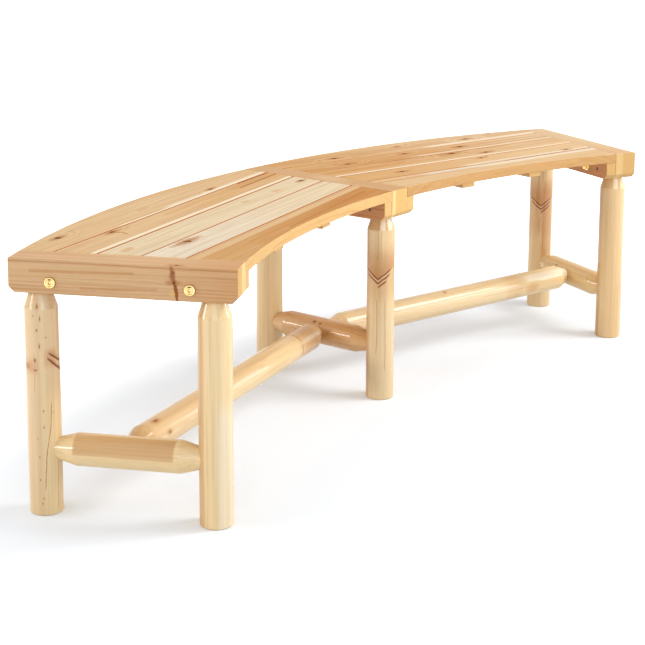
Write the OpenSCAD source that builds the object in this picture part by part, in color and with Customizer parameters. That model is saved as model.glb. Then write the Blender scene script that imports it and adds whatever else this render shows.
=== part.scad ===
// Curved log bench: two slatted seat panels between three square beams, on six round log legs.
// The seat follows an arc.  Its plan is laid out from the centre of that arc: every beam lies on a
// radius, and every panel lies between two beams.  In a beam's or a panel's own frame, +Y runs
// outwards along its radius and +X runs across it.  The bench stands on the floor at z = 0, its
// length runs along X, and its hollow inner side faces -Y.

/* [Seat] */
// Height of the seat's top above the floor
seat_h = 457; // [430:1:480]
// Plan radius of the seat's hollow inner edge
inner_r = 1520; // [1450:5:1600]
// Width of the seat from its inner to its outer edge
seat_w = 400; // [390:5:410]
// Plan angle from one beam to the next
panel_angle = 27; // [25:0.5:28]

/* [Seat boards] */
// Thickness of a seat board
board_t = 21; // [18:1:24]
// Distance from one groove between boards to the next
board_pitch = 76; // [74:1:78]
// Width of the innermost board at the middle of its panel
inner_board_w = 65; // [60:1:68]
// Gap between neighbouring boards, and between a board's end and a beam
board_gap = 0.6; // [0.4:0.1:1]
// Bevel along the upper edges that meet at a groove
groove_bevel = 1.1; // [0.8:0.1:1.5]

/* [Beams and cleats] */
// Width of a beam
beam_w = 55; // [52:1:60]
// Height of a beam
beam_h = 60; // [58:1:66]
// Width of the cleats that carry the boards' ends
cleat_w = 25; // [22:1:28]
// Bevel at the lower corners of the beams' and cleats' ends
end_bevel = 10; // [6:1:12]

/* [Battens] */
// Width of the battens under the boards
batten_w = 36; // [30:1:42]
// Thickness of the battens
batten_t = 14; // [12:1:16]
// Distance of a batten's middle line from its panel's middle
batten_offset = 105; // [90:5:120]
// How far a batten stops short of the seat's edges
batten_setback = 12; // [8:1:16]
// Bevel at the lower corners of a batten's ends
batten_bevel = 1; // [0.5:0.5:3]

/* [Legs] */
// Diameter of a leg
leg_d = 59; // [56:1:62]
// Distance of a leg's axis from the seat's edge
leg_inset = 47; // [44:1:50]
// Length of the taper at a leg's top
leg_taper = 29; // [25:1:34]
// Diameter of a leg's top where it meets the beam
leg_top_d = 39.5; // [38:0.5:42]
// Diameter of the round tenon on a leg's top
leg_tenon_d = 34; // [30:1:36]
// Height of the tenon on a leg's top
leg_tenon_h = 38; // [30:1:42]
// Bevel around a leg's foot
foot_bevel = 2; // [1:0.5:3]

/* [Stretchers] */
// Height of the stretchers' axes above the floor
stretcher_z = 116; // [100:1:140]
// Diameter of the stretchers
stretcher_d = 58; // [55:1:60]
// Length of the taper at each end of a cross stretcher
cross_taper = 31; // [26:1:34]
// Diameter of the tenons on the cross stretchers
cross_tenon_d = 38; // [34:1:39]
// How far a cross stretcher's tenon goes into the leg, from the leg's skin
cross_tenon_in = 36; // [30:1:40]
// Length of the taper at each end of a long stretcher
long_taper = 29; // [25:1:32]
// Diameter of the tenons on the long stretchers
long_tenon_d = 30; // [26:1:31]
// How far a long stretcher's tenon goes into the cross stretcher, from its skin
long_tenon_in = 21; // [18:1:22]
// How far the long stretchers lie outwards of the cross stretchers' middles
long_shift = 9; // [0:1:14]

/* [Fasteners] */
// Diameter of the bolts' shanks
bolt_d = 8; // [6:1:8]
// Diameter of the bolts' flat heads and of their washers
bolt_head_d = 20; // [18:1:22]
// Thickness of the bolts' heads
bolt_head_t = 3; // [2:0.5:4]
// Width across the flats of the bolts' sockets
socket_w = 5; // [4:1:6]
// Distance of the bolts below the seat's top
bolt_drop = 40; // [38:1:44]
// Distance of the inner bolts from the seat's inner edge
inner_bolt_inset = 82; // [79:1:84]
// Distance of the outer bolts from the seat's outer edge
outer_bolt_inset = 75; // [75:1:79]
// Diameter of the screws' shanks
screw_d = 4; // [3.5:0.5:4.5]
// Diameter of the screws' heads
screw_head_d = 7; // [6.5:0.5:8]
// Length of the screws that hold the legs' tenons
tenon_screw_l = 50; // [46:1:54]
// Length of the screws that hold the boards' ends
end_screw_l = 40; // [36:1:42]
// Length of the screws that hold the battens
batten_screw_l = 28; // [24:1:30]

/* [Hidden] */

LEFT = 1;        // turns a beam or a panel to the bench's left, seen from its hollow side
MIDDLE = 0;
RIGHT = -1;
BOARDS = 5;      // boards in a panel, 1 at the outer edge

half_angle = panel_angle / 2;
outer_r = inner_r + seat_w;
beam_bottom = seat_h - beam_h;
board_bottom = seat_h - board_t;
cleat_h = board_bottom - beam_bottom;
cleat_middle = (beam_w + cleat_w) / 2;
front_y = inner_r * cos(panel_angle) - beam_w / 2 * sin(panel_angle);
centre_y = (front_y + outer_r) / 2;
leg_rs = [inner_r + leg_inset, outer_r - leg_inset];
bolt_rs = [inner_r + inner_bolt_inset, outer_r - outer_bolt_inset];
bolt_z = seat_h - bolt_drop;
cross_r = (leg_rs[0] + leg_rs[1]) / 2;
long_y = (cross_r + long_shift) * cos(half_angle);
long_half = long_y * tan(half_angle) - stretcher_d / 2 / cos(half_angle);
reach = 2 * outer_r;
past = 1;          // how far a cutter runs past the face it cuts
fit = 0.15;        // radial clearance of a tenon, bolt or screw in its hole
tenon_relief = 2;  // room at the bottom of a mortise
cross_skin = 3.5;  // how much wider than its tenon a cross stretcher is where it meets a leg's skin
long_skin = 8;     // the same for a long stretcher, where it meets a cross stretcher's skin
washer_t = 1.6;
nut_w = 13;
nut_h = 6.5;
thread_end = 2;
socket_depth = 2;
head_bevel = 0.8;
screw_cone = 2.6;
screw_tip = 5;
screw_point_r = 0.4;
pin_shift = 8;     // how far a tenon's screw sits from the leg's axis, towards the beam's end
end_screw_share = 0.6;  // place of a board-end screw across its board, clear of the tenon screws
end_recess = 10;   // depth of the recess for a board-end screw's head
recess_d = 11;

$fn = 72;

// ---------------------------------------------------------------- frames

// Puts the plan's arc centre where it belongs in the bench's frame
module bench() {
    translate([0, -centre_y, 0]) children();
}

module beam_frame(side) {
    rotate([0, 0, side * panel_angle]) children();
}

module panel_frame(side) {
    rotate([0, 0, side * half_angle]) children();
}

// Lays a solid that is turned about Z along +X or along +Y
module along_x() {
    rotate([0, 90, 0]) children();
}

module along_y() {
    rotate([-90, 0, 0]) children();
}

// ---------------------------------------------------------------- layout of the seat

// Place of groove i in a panel's frame, from groove 1 at the outer board to the last
function groove_y(i) = inner_r + inner_board_w + (BOARDS - 1 - i) * board_pitch;

// Edges of board i on the panel's line x: [inner, outer]
function board_edges(i, x) = [
    i == BOARDS ? sqrt(inner_r * inner_r - x * x) : groove_y(i),
    i == 1 ? sqrt(outer_r * outer_r - x * x) : groove_y(i - 1)
];

function middle(pair) = (pair[0] + pair[1]) / 2;

// Point at a share of the way from a pair's first value to its second
function part_way(pair, share) = pair[0] + share * (pair[1] - pair[0]);

// Distance along a beam at which its cleat's middle line crosses the panel's line y
function along_cleat(y) = (y - cleat_middle * sin(half_angle)) / cos(half_angle);

// X in the panel's frame of the point at that distance
function cleat_x(y) = along_cleat(y) * sin(half_angle) - cleat_middle * cos(half_angle);

// Where the screw through a cleat holds board i, in the panel's frame, to the panel's right
function end_screw_at(i) =
    let (y = part_way(board_edges(i, cleat_x(i == 1 ? outer_r : inner_r)), end_screw_share))
    [cleat_x(y), y];

// Middle line of the batten at a panel's end LEFT or RIGHT
function batten_x(end) = -end * batten_offset;

// Where the screw through that batten holds board i
function batten_screw_at(end, i) = [batten_x(end), middle(board_edges(i, batten_x(end)))];

// ---------------------------------------------------------------- fasteners

// Countersunk screw pointing along +Z with its head's face at z = 0
module screw(length, clearance = 0) {
    head_r = screw_head_d / 2 + clearance;
    shank_r = screw_d / 2 + clearance;
    rotate_extrude()
        polygon([
            [0, 0], [head_r, 0], [shank_r, screw_cone], [shank_r, length - screw_tip],
            [screw_point_r + clearance, length + clearance], [0, length + clearance]
        ]);
}

// Hole for such a screw, open past its head's face
module screw_hole(length) {
    screw(length, fit);
    translate([0, 0, -past]) cylinder(d = screw_head_d + 2 * fit, h = past);
}

// Bolt pointing along +Z with its head below z = 0 and the clamped pieces above it
module bolt(grip) {
    difference() {
        union() {
            cylinder(d = bolt_d, h = grip + washer_t + nut_h + thread_end);
            translate([0, 0, -bolt_head_t + head_bevel])
                cylinder(d = bolt_head_d, h = bolt_head_t - head_bevel);
            translate([0, 0, -bolt_head_t])
                cylinder(d1 = bolt_head_d - 2 * head_bevel, d2 = bolt_head_d, h = head_bevel);
        }
        translate([0, 0, -bolt_head_t - past])
            cylinder(d = socket_w / cos(30), h = socket_depth + past, $fn = 6);
    }
}

module washer() {
    difference() {
        cylinder(d = bolt_head_d, h = washer_t);
        translate([0, 0, -past]) cylinder(d = bolt_d + 2 * fit, h = washer_t + 2 * past);
    }
}

module nut() {
    difference() {
        cylinder(d = nut_w / cos(30), h = nut_h, $fn = 6);
        translate([0, 0, -past]) cylinder(d = bolt_d + fit, h = nut_h + 2 * past);
    }
}

// Puts a child at each bolt of a beam, pointing inwards through the beam from its outer face
module at_bolts(side, from_x) {
    beam_frame(side)
        for (r = bolt_rs)
            translate([from_x, r, bolt_z])
                rotate([0, side == RIGHT ? -90 : 90, 0]) children();
}

// Puts a child at each screw that holds a leg's tenon, on the face of the cleat
module at_tenon_screws(side) {
    facing = side == LEFT ? 1 : -1;
    beam_frame(side)
        for (i = [0, 1])
            translate([facing * (beam_w / 2 + cleat_w), leg_rs[i] + (i == 0 ? -pin_shift : pin_shift),
                       bolt_z])
                rotate([0, -facing * 90, 0]) children();
}

// Puts a child at the screw that holds one end of board i, pointing up; end is LEFT or RIGHT
module at_end_screw(side, end, i) {
    at = end_screw_at(i);
    panel_frame(side)
        translate([-end * abs(at[0]), at[1], beam_bottom + end_recess]) children();
}

// Puts a child at the screw that holds board i on a batten, pointing up
module at_batten_screw(side, end, i) {
    at = batten_screw_at(end, i);
    panel_frame(side)
        translate([at[0], at[1], board_bottom - batten_t]) children();
}

// ---------------------------------------------------------------- beams, cleats and battens

// Bar along +Y from y0 to y1, its lower end corners bevelled
module bar(width, height, y0, y1, bevel) {
    translate([-width / 2, 0, 0])
        rotate([90, 0, 90])
            linear_extrude(height = width)
                polygon([
                    [y0, bevel], [y0 + bevel, 0], [y1 - bevel, 0], [y1, bevel],
                    [y1, height], [y0, height]
                ]);
}

module bolt_holes(side) {
    at_bolts(side, side == RIGHT ? beam_w + cleat_w : -beam_w - cleat_w)
        cylinder(d = bolt_d + 2 * fit, h = 2 * (beam_w + cleat_w));
}

module beam(side) {
    color("burlywood")
        bench()
            difference() {
                beam_frame(side)
                    translate([0, 0, beam_bottom]) bar(beam_w, beam_h, inner_r, outer_r, end_bevel);
                beam_frame(side)
                    for (r = leg_rs)
                        translate([0, r, beam_bottom - past])
                            cylinder(d = leg_tenon_d + 2 * fit, h = past + leg_tenon_h + tenon_relief);
                bolt_holes(side);
                at_tenon_screws(side) screw_hole(tenon_screw_l);
            }
}

// facing is 1 where the cleat is on the beam's right, -1 on its left
module cleat(side, facing) {
    panel = side == MIDDLE ? (facing == 1 ? RIGHT : LEFT) : side;
    end = facing == 1 ? LEFT : RIGHT;
    color("tan")
        bench()
            difference() {
                beam_frame(side)
                    translate([facing * cleat_middle, 0, beam_bottom])
                        bar(cleat_w, cleat_h, inner_r + board_gap, outer_r - board_gap, end_bevel);
                bolt_holes(side);
                at_tenon_screws(side) screw_hole(tenon_screw_l);
                for (i = [1 : BOARDS])
                    at_end_screw(panel, end, i) {
                        screw_hole(end_screw_l);
                        translate([0, 0, -end_recess - past]) cylinder(d = recess_d, h = end_recess + past);
                    }
            }
}

// end is LEFT or RIGHT of the panel's middle
module batten(side, end) {
    x = batten_x(end);
    ends = [inner_r + batten_setback, sqrt(outer_r * outer_r - x * x) - batten_setback];
    color("tan")
        bench()
            difference() {
                panel_frame(side)
                    translate([x, 0, board_bottom - batten_t])
                        bar(batten_w, batten_t, ends[0], ends[1], batten_bevel);
                for (i = [1 : BOARDS]) at_batten_screw(side, end, i) screw_hole(batten_screw_l);
            }
}

// ---------------------------------------------------------------- seat boards

// Plan of a whole panel: the arc's ring, between the faces of two beams
module panel_plan() {
    face = beam_w / 2 + board_gap;
    intersection() {
        difference() {
            circle(r = outer_r, $fn = 720);
            circle(r = inner_r, $fn = 720);
        }
        rotate(half_angle) translate([face, 0]) square(reach);
        rotate(-half_angle) translate([-face - reach, 0]) square(reach);
    }
}

// Strip along X that board i is cut from, bevelled where it meets a groove
module board_strip(i) {
    y0 = i == BOARDS ? 0 : groove_y(i) + board_gap / 2;
    y1 = i == 1 ? reach : groove_y(i - 1) - board_gap / 2;
    b0 = i == BOARDS ? 0 : groove_bevel;
    b1 = i == 1 ? 0 : groove_bevel;
    translate([-reach / 2, 0, board_bottom])
        rotate([90, 0, 90])
            linear_extrude(height = reach)
                polygon(concat(
                    [[y0, 0], [y1, 0]],
                    b1 > 0 ? [[y1, board_t - b1]] : [],
                    [[y1 - b1, board_t], [y0 + b0, board_t]],
                    b0 > 0 ? [[y0, board_t - b0]] : []
                ));
}

module seat_board(side, i) {
    color("wheat")
        bench()
            difference() {
                panel_frame(side)
                    intersection() {
                        board_strip(i);
                        translate([0, 0, board_bottom])
                            linear_extrude(height = board_t) panel_plan();
                    }
                for (end = [LEFT, RIGHT]) {
                    at_end_screw(side, end, i) screw_hole(end_screw_l);
                    at_batten_screw(side, end, i) screw_hole(batten_screw_l);
                }
            }
}

// ---------------------------------------------------------------- logs

// Log about Z, centred on z = 0, with tapered ends that run into round tenons.  skin is half the
// distance between the skins of the logs that it joins, skin_d its diameter there, and clearance
// widens it for the hole that it needs.
module tenoned_log(skin, taper, skin_d, tenon_d, tenon_in, clearance) {
    full = skin - taper;
    cone_end = skin + taper * (skin_d - tenon_d) / (stretcher_d - skin_d);
    tip = skin + tenon_in + (clearance > 0 ? tenon_relief : 0);
    log_r = stretcher_d / 2 + clearance;
    tenon_r = tenon_d / 2 + clearance;
    rotate_extrude()
        polygon([
            [0, -tip], [tenon_r, -tip], [tenon_r, -cone_end], [log_r, -full],
            [log_r, full], [tenon_r, cone_end], [tenon_r, tip], [0, tip]
        ]);
}

module cross_log(clearance = 0) {
    tenoned_log((leg_rs[1] - leg_rs[0] - leg_d) / 2, cross_taper, cross_tenon_d + cross_skin,
                cross_tenon_d, cross_tenon_in, clearance);
}

module long_log(clearance = 0) {
    tenoned_log(long_half, long_taper, long_tenon_d + long_skin, long_tenon_d, long_tenon_in,
                clearance);
}

module place_cross(side) {
    beam_frame(side) translate([0, cross_r, stretcher_z]) along_y() children();
}

module place_long(side) {
    panel_frame(side) translate([0, long_y, stretcher_z]) along_x() children();
}

// row is 0 for the inner leg, 1 for the outer leg
module leg(side, row) {
    r = leg_d / 2;
    color("navajowhite")
        bench()
            difference() {
                beam_frame(side)
                    translate([0, leg_rs[row], 0])
                        rotate_extrude()
                            polygon([
                                [0, 0], [r - foot_bevel, 0], [r, foot_bevel],
                                [r, beam_bottom - leg_taper], [leg_top_d / 2, beam_bottom],
                                [leg_tenon_d / 2, beam_bottom],
                                [leg_tenon_d / 2, beam_bottom + leg_tenon_h],
                                [0, beam_bottom + leg_tenon_h]
                            ]);
                place_cross(side) cross_log(fit);
                at_tenon_screws(side) screw_hole(tenon_screw_l);
            }
}

module cross_stretcher(side) {
    color("peru")
        bench()
            difference() {
                place_cross(side) cross_log();
                if (side != RIGHT) place_long(LEFT) long_log(fit);
                if (side != LEFT) place_long(RIGHT) long_log(fit);
            }
}

module long_stretcher(side) {
    color("burlywood") bench() place_long(side) long_log();
}

// ---------------------------------------------------------------- fastener groups

module end_beam_bolts() {
    color("gold")
        bench()
            for (side = [LEFT, RIGHT]) at_bolts(side, -side * beam_w / 2) bolt(beam_w + cleat_w);
}

module middle_beam_bolts() {
    color("gold")
        bench()
            at_bolts(MIDDLE, -beam_w / 2 - cleat_w) bolt(beam_w + 2 * cleat_w);
}

// Puts a child on the far face of the pieces that each bolt clamps
module at_nuts() {
    bench() {
        for (side = [LEFT, RIGHT])
            at_bolts(side, side * (beam_w / 2 + cleat_w)) children();
        at_bolts(MIDDLE, beam_w / 2 + cleat_w) children();
    }
}

module bolt_washers() {
    color("gold") at_nuts() washer();
}

module bolt_nuts() {
    color("gold") at_nuts() translate([0, 0, washer_t]) nut();
}

module leg_tenon_screws() {
    color("dimgray")
        bench()
            for (side = [LEFT, MIDDLE, RIGHT]) at_tenon_screws(side) screw(tenon_screw_l);
}

module board_end_screws() {
    color("dimgray")
        bench()
            for (side = [LEFT, RIGHT], end = [LEFT, RIGHT], i = [1 : BOARDS])
                at_end_screw(side, end, i) screw(end_screw_l);
}

module batten_screws() {
    color("dimgray")
        bench()
            for (side = [LEFT, RIGHT], end = [LEFT, RIGHT], i = [1 : BOARDS])
                at_batten_screw(side, end, i) screw(batten_screw_l);
}

// ---------------------------------------------------------------- the bench

beam(LEFT);  // left_beam
beam(MIDDLE);  // middle_beam
beam(RIGHT);  // right_beam
cleat(LEFT, 1);  // left_beam_cleat
cleat(MIDDLE, -1);  // middle_beam_left_cleat
cleat(MIDDLE, 1);  // middle_beam_right_cleat
cleat(RIGHT, -1);  // right_beam_cleat
seat_board(LEFT, 1);  // left_board_1
seat_board(LEFT, 2);  // left_board_2
seat_board(LEFT, 3);  // left_board_3
seat_board(LEFT, 4);  // left_board_4
seat_board(LEFT, 5);  // left_board_5
seat_board(RIGHT, 1);  // right_board_1
seat_board(RIGHT, 2);  // right_board_2
seat_board(RIGHT, 3);  // right_board_3
seat_board(RIGHT, 4);  // right_board_4
seat_board(RIGHT, 5);  // right_board_5
batten(LEFT, LEFT);  // left_panel_batten_1
batten(LEFT, RIGHT);  // left_panel_batten_2
batten(RIGHT, LEFT);  // right_panel_batten_1
batten(RIGHT, RIGHT);  // right_panel_batten_2
leg(LEFT, 0);  // left_inner_leg
leg(LEFT, 1);  // left_outer_leg
leg(MIDDLE, 0);  // middle_inner_leg
leg(MIDDLE, 1);  // middle_outer_leg
leg(RIGHT, 0);  // right_inner_leg
leg(RIGHT, 1);  // right_outer_leg
cross_stretcher(LEFT);  // left_cross_stretcher
cross_stretcher(MIDDLE);  // middle_cross_stretcher
cross_stretcher(RIGHT);  // right_cross_stretcher
long_stretcher(LEFT);  // left_long_stretcher
long_stretcher(RIGHT);  // right_long_stretcher
end_beam_bolts();
middle_beam_bolts();
bolt_washers();
bolt_nuts();
leg_tenon_screws();
board_end_screws();
batten_screws();
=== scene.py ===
"""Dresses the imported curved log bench: eased timber, turned logs, varnished grain, brass bolts and a studio.

Every piece is built in its own grain frame: "along" runs with the wood's fibres, "across" and "up" lie at
right angles to them.  A piece keeps those coordinates as a mesh attribute, and the wood finishes read them,
so that rings, knots and sapwood are cut through by its faces as they are in real timber.
"""

from __future__ import annotations

import itertools
import logging
import math
import random
from dataclasses import dataclass
from enum import Enum
from functools import reduce
from typing import Callable, Iterable, Mapping, NamedTuple, Sequence

import bmesh
import bpy
from mathutils import Matrix, Vector


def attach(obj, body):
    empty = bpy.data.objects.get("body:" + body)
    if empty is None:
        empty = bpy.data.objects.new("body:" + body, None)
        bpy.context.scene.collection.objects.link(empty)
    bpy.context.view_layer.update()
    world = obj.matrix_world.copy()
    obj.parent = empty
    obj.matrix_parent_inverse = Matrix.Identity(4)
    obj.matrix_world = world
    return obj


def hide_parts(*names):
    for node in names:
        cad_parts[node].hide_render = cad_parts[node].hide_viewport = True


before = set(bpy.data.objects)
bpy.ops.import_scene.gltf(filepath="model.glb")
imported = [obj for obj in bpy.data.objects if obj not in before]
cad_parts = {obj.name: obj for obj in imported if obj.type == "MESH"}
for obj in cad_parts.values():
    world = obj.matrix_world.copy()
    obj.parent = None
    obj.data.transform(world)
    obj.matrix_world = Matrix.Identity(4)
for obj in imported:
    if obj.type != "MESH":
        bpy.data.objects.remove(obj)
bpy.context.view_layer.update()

log = logging.getLogger("log_bench")

MM = 0.001
UP = Vector((0, 0, 1))
LOG_SIDES = 72
SAWN = 0.3  # how far a face must look along the grain, from 0 to 1, to show end grain
LOG_SAWN = 0.6  # the same for logs, whose cones are shaved along the fibres
SAWN_BLEND = 0.4  # how much further it must look to show end grain alone
SHARP = math.radians(38)  # least angle between the faces of an edge that is shaded sharp
UNBOUND = 3000.0  # further along the grain, in millimetres, than any piece reaches
GRAIN = "grain"  # mesh attribute: along, across and up, in metres
CUT = "cut"  # mesh attribute: 1 on faces sawn across the fibres
EASED = "eased"  # mesh attribute: 1 on the arrises that varnish darkens
ARC = "arc"  # mesh attribute: 1 on a board's curved sawn edge

Socket = bpy.types.NodeSocket
Rgb = tuple[float, float, float, float]
Triple = tuple[float, float, float]
Points = list[tuple[float, float]]

OUTWARDS = Matrix(((0, -1, 0, 0), (1, 0, 0, 0), (0, 0, 1, 0), (0, 0, 0, 1)))  # lays along on +Y, across on -X
UPWARDS = Matrix(((0, 1, 0, 0), (0, 0, 1, 0), (1, 0, 0, 0), (0, 0, 0, 1)))  # stands along on +Z, across on +X


# ------------ sizes and places


class Side(Enum):
    """Which beam or panel, seen from the bench's hollow side."""

    LEFT = 1
    MIDDLE = 0
    RIGHT = -1

    @property
    def word(self) -> str:
        """The side's word in the names of pieces."""
        return self.name.lower()


class Row(Enum):
    """Which of a beam's two legs."""

    INNER = 0
    OUTER = 1


@dataclass(frozen=True)
class Layout:
    """Driving sizes of the bench in metres, and what follows from them."""

    seat_h: float = 457 * MM
    inner_r: float = 1520 * MM
    seat_w: float = 400 * MM
    panel_angle: float = math.radians(27)
    board_t: float = 21 * MM
    board_pitch: float = 76 * MM
    inner_board_w: float = 65 * MM
    board_gap: float = 0.6 * MM
    boards: int = 5
    beam_w: float = 55 * MM
    beam_h: float = 60 * MM
    cleat_w: float = 25 * MM
    end_bevel: float = 10 * MM
    batten_w: float = 36 * MM
    batten_t: float = 14 * MM
    batten_offset: float = 105 * MM
    batten_setback: float = 12 * MM
    batten_bevel: float = 1 * MM
    leg_d: float = 59 * MM
    leg_inset: float = 47 * MM
    stretcher_z: float = 116 * MM
    stretcher_d: float = 58 * MM
    long_shift: float = 9 * MM
    bolt_drop: float = 40 * MM
    inner_bolt_inset: float = 82 * MM
    outer_bolt_inset: float = 75 * MM
    pin_shift: float = 8 * MM
    end_screw_share: float = 0.6
    end_recess: float = 10 * MM

    @property
    def half_angle(self) -> float:
        """Plan angle from a panel's middle to either of its beams."""
        return self.panel_angle / 2

    @property
    def outer_r(self) -> float:
        """Plan radius of the seat's outer edge."""
        return self.inner_r + self.seat_w

    @property
    def beam_bottom(self) -> float:
        """Height of the beams' undersides."""
        return self.seat_h - self.beam_h

    @property
    def board_bottom(self) -> float:
        """Height of the boards' undersides."""
        return self.seat_h - self.board_t

    @property
    def centre_y(self) -> float:
        """Distance from the arc's centre to the middle of the bench's depth."""
        front = self.inner_r * math.cos(self.panel_angle) - self.beam_w / 2 * math.sin(self.panel_angle)
        return (front + self.outer_r) / 2

    @property
    def cross_r(self) -> float:
        """Plan radius of the cross stretchers' middles."""
        return self.inner_r + self.seat_w / 2

    @property
    def bolt_z(self) -> float:
        """Height of the bolts and of the tenons' screws."""
        return self.seat_h - self.bolt_drop

    @property
    def bolt_rs(self) -> tuple[float, float]:
        """Plan radii of a beam's two bolts."""
        return self.inner_r + self.inner_bolt_inset, self.outer_r - self.outer_bolt_inset

    @property
    def cleat_middle(self) -> float:
        """Distance from a beam's middle line to its cleat's."""
        return (self.beam_w + self.cleat_w) / 2

    def leg_r(self, row: Row) -> float:
        """Plan radius of a leg's axis."""
        return self.inner_r + self.leg_inset if row is Row.INNER else self.outer_r - self.leg_inset

    def groove(self, index: int) -> float:
        """Place of a groove in its panel's frame, from 1 at the outer board."""
        return self.inner_r + self.inner_board_w + (self.boards - 1 - index) * self.board_pitch

    def turned_plan(self, angle: float) -> Matrix:
        """Frame whose +Y runs outwards along a radius of the arc, +X across it and +Z up."""
        return Matrix.Translation((0, -self.centre_y, 0)) @ Matrix.Rotation(angle, 4, "Z")

    def beam_frame(self, side: Side) -> Matrix:
        """Frame of a beam: +Y outwards along it."""
        return self.turned_plan(side.value * self.panel_angle)

    def panel_frame(self, side: Side) -> Matrix:
        """Frame of a panel: +Y outwards through its middle."""
        return self.turned_plan(side.value * self.half_angle)

    def along_beam(self, side: Side, across: float = 0.0, z: float = 0.0, out: float = 0.0) -> Matrix:
        """Grain frame of a piece along a beam: across to its right, z up and out from the arc's centre."""
        return self.beam_frame(side) @ (Matrix.Translation((across, out, z)) @ OUTWARDS)

    def upright(self, side: Side, radius: float) -> Matrix:
        """Grain frame of a leg below a beam, whose across and up axes lie along the bench's X and Y."""
        foot = self.beam_frame(side) @ Vector((0, radius, 0))
        return Matrix.Translation(foot) @ UPWARDS

    def along_panel(self, side: Side, out: float = 0.0, z: float = 0.0) -> Matrix:
        """Grain frame of a piece that runs along a panel's chord."""
        return self.panel_frame(side) @ Matrix.Translation((0, out, z))

    def arc_y(self, radius: float, x: float) -> float:
        """Where an arc of the seat crosses a panel's line x."""
        return math.sqrt(radius * radius - x * x)

    def board_edges(self, index: int, x: float) -> tuple[float, float]:
        """Where a board's edges cross a line of its panel.

        Args:
            index: The board's number, from 1 at the outer one.
            x: The line.

        Returns:
            The y of its inner and of its outer edge, with no gap between boards.
        """
        inner = self.arc_y(self.inner_r, x) if index == self.boards else self.groove(index)
        outer = self.arc_y(self.outer_r, x) if index == 1 else self.groove(index - 1)
        return inner, outer

    def batten_x(self, end: Side) -> float:
        """Middle line of the batten at a panel's left or right end."""
        return -end.value * self.batten_offset

    def cleat_x(self, y: float) -> float:
        """X in the panel's frame at which a right-hand cleat's middle line crosses the line y."""
        run = (y - self.cleat_middle * math.sin(self.half_angle)) / math.cos(self.half_angle)
        return run * math.sin(self.half_angle) - self.cleat_middle * math.cos(self.half_angle)

    def end_screw(self, end: Side, index: int) -> Vector:
        """Where a cleat's screw holds a board's end.

        Args:
            end: The end of the panel.
            index: The board's number.

        Returns:
            The place of the screw's head in the panel's frame.
        """
        x = self.cleat_x(self.outer_r if index == 1 else self.inner_r)
        inner, outer = self.board_edges(index, x)
        y = inner + self.end_screw_share * (outer - inner)
        return Vector((-end.value * self.cleat_x(y), y, self.beam_bottom + self.end_recess))

    def batten_screw(self, end: Side, index: int) -> Vector:
        """Where a batten's screw holds a board.

        Args:
            end: The end of the panel that the batten lies near.
            index: The board's number.

        Returns:
            The place of the screw's head in the panel's frame.
        """
        x = self.batten_x(end)
        inner, outer = self.board_edges(index, x)
        return Vector((x, (inner + outer) / 2, self.board_bottom - self.batten_t))

    def tenon_screw(self, side: Side, row: Row) -> Matrix:
        """Where a screw holds a leg's tenon.

        Args:
            side: The beam.
            row: The leg.

        Returns:
            A frame at the screw's head, whose +Z points into the wood.
        """
        facing = 1 if side is Side.LEFT else -1
        shift = self.pin_shift if row is Row.OUTER else -self.pin_shift
        face = Vector((facing * (self.beam_w / 2 + self.cleat_w), self.leg_r(row) + shift, self.bolt_z))
        turn = Matrix.Rotation(-facing * math.pi / 2, 4, "Y")
        return self.beam_frame(side) @ Matrix.Translation(face) @ turn


# ------------ meshes


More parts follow.
